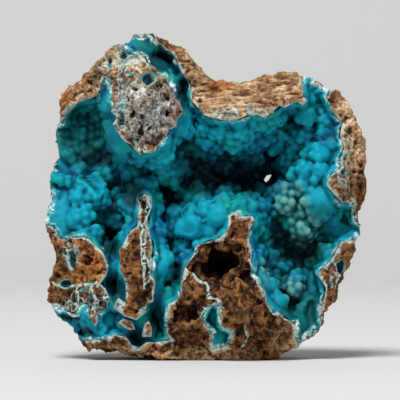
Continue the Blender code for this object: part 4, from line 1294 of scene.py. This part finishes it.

# %% Weathered limonite: seams, veins, vugs and painted shade in the hollows
# A pale seam runs along the crust's edge, veins cross the rock, and a vug is a small dark hole with
# a pale edge. Where the rock sees little of the outside, as in the cave, it gets painted shade.
seam = node(tree, RANGE, {0: read["near_crust"], 1: 0.7, 2: 0.92})
seam_gaps = node(tree, RANGE, {0: speck, 1: 0.36, 2: 0.46})
seam = node(tree, MATH, {0: seam, 1: seam_gaps}, operation="MULTIPLY")
vein_line = node(tree, RANGE, {0: read["vein"], 1: 0.3, 2: 0.7})
vein_gaps = node(tree, RANGE, {0: speck, 1: 0.4, 2: 0.48})
vein_line = node(tree, MATH, {0: vein_line, 1: vein_gaps}, operation="MULTIPLY")
lines = node(tree, MATH, {0: seam, 1: vein_line}, operation="MAXIMUM")
vug_edge = node(tree, RANGE, {0: read["vug"], 1: 0.08, 2: 0.3})
vug_inside = node(tree, RANGE, {0: read["vug"], 1: 0.45, 2: 0.8})
# Painted shade where the rock sees little of the outside.
shut = node(tree, RANGE, {0: read["open"], 1: 0.45, 2: 0.12})
colour = coated(tree, colour, (
    (lining, 0.85, "#1c7f8a"), (lines, 0.9, "#b9d2cc"), (vug_edge, 0.9, "#9fc8c3"),
    (vug_inside, 1.0, "#0c3a42"), (shut, 0.9, "#120a05"),
))

# %% Weathered limonite: its surface
# A dull earthy surface with a crumb of about 1 mm and a finer one on it.
crumb = {"Height": speck, "Strength": 0.9, "Distance": 0.5 * MM}
crumb = node(tree, "ShaderNodeBump", crumb)
grit = {"Height": fine, "Strength": 1.0, "Distance": 0.25 * MM, "Normal": crumb}
tree.links.new(colour, shader.inputs["Base Color"])
tree.links.new(node(tree, "ShaderNodeBump", grit), shader.inputs["Normal"])
shader.inputs["Roughness"].default_value = 0.88
shader.inputs["Specular IOR Level"].default_value = 0.25
print("nodes of the rock's material:", len(tree.nodes))

# %% Give the pieces their materials, hang them on the root and hide their solids
for piece, solid, material, slot in (
    (rock, "limonite_matrix", rock_material, "limonite"),
    (crust, "hollow_crust", crust_material, "hemimorphite"),
    (pocket, "vein_pocket_crust", crust_material, "hemimorphite"),
):
    piece.data.materials.clear()
    piece.data.materials.append(material)
    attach(piece, "root")
    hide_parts(solid)

# %% [markdown]
# ## Stage, light and camera
#
# The specimen stands on a pale sweep, a floor that curves up into a wall, under large soft lights
# above and in front, as in a photographer's light tent.

# %% Bend a sweep behind the specimen
SWEEP_WIDTH = 6.0
SWEEP_DEPTH = 1.0
SWEEP_BEND = 1.0
SWEEP_HEIGHT = 3.0
bend = [
    (SWEEP_DEPTH + SWEEP_BEND * math.sin(a), SWEEP_BEND * (1 - math.cos(a)))
    for a in [math.radians(6 * step) for step in range(16)]
]
profile = [(-3.0, 0.0)] + bend + [(SWEEP_DEPTH + SWEEP_BEND, SWEEP_HEIGHT)]
half = SWEEP_WIDTH / 2
sweep_places = [(side * half, y, z) for y, z in profile for side in (-1, 1)]
sweep_faces = [(2 * i, 2 * i + 1, 2 * i + 3, 2 * i + 2) for i in range(len(profile) - 1)]
sweep_mesh = bpy.data.meshes.new("sweep")
sweep_mesh.from_pydata(sweep_places, [], sweep_faces)
sweep_mesh.shade_smooth()
sweep = new_object("sweep", sweep_mesh)
# Matt background paper.
paper, tree, shader, where, read = new_material("background paper")
shader.inputs["Base Color"].default_value = linear("#dcdcdb")
shader.inputs["Roughness"].default_value = 0.9
sweep.data.materials.append(paper)

# %% Set the lights
MIDDLE = Vector((0, 0, 45 * MM))


def soft_light(name, place, size, power):
    """A square soft box that faces the specimen."""
    light = bpy.data.lights.new(name, "AREA")
    light.size = size
    light.energy = power
    lamp = new_object(name, light)
    lamp.location = place
    lamp.rotation_euler = (MIDDLE - Vector(place)).to_track_quat("-Z", "Y").to_euler()


soft_light("key", (-0.7, -1.9, 3.0), 1.5, 135)
soft_light("fill", (2.2, -2.6, 0.9), 2.0, 10)
world = bpy.data.worlds.new("light tent")
world.use_nodes = True
background = next(n for n in world.node_tree.nodes if n.type == "BACKGROUND")
background.inputs["Color"].default_value = linear("#eeeff2")
background.inputs["Strength"].default_value = 0.22
bpy.context.scene.world = world
bpy.context.scene.view_settings.view_transform = "Standard"

# %% Set the camera
# It looks level at the middle of the broken face, from far enough away for little perspective.
PICTURE_WIDTH = 112 * MM
CAMERA_DISTANCE = 1.0
camera_data = bpy.data.cameras.new("camera")
camera_data.lens = camera_data.sensor_width * CAMERA_DISTANCE / PICTURE_WIDTH
camera_data.clip_end = 20
camera = new_object("camera", camera_data)
camera.location = (-1.68 * MM, -14 * MM - CAMERA_DISTANCE, 44.9 * MM)
camera.rotation_euler = (math.radians(90), 0, 0)
bpy.context.scene.camera = camera
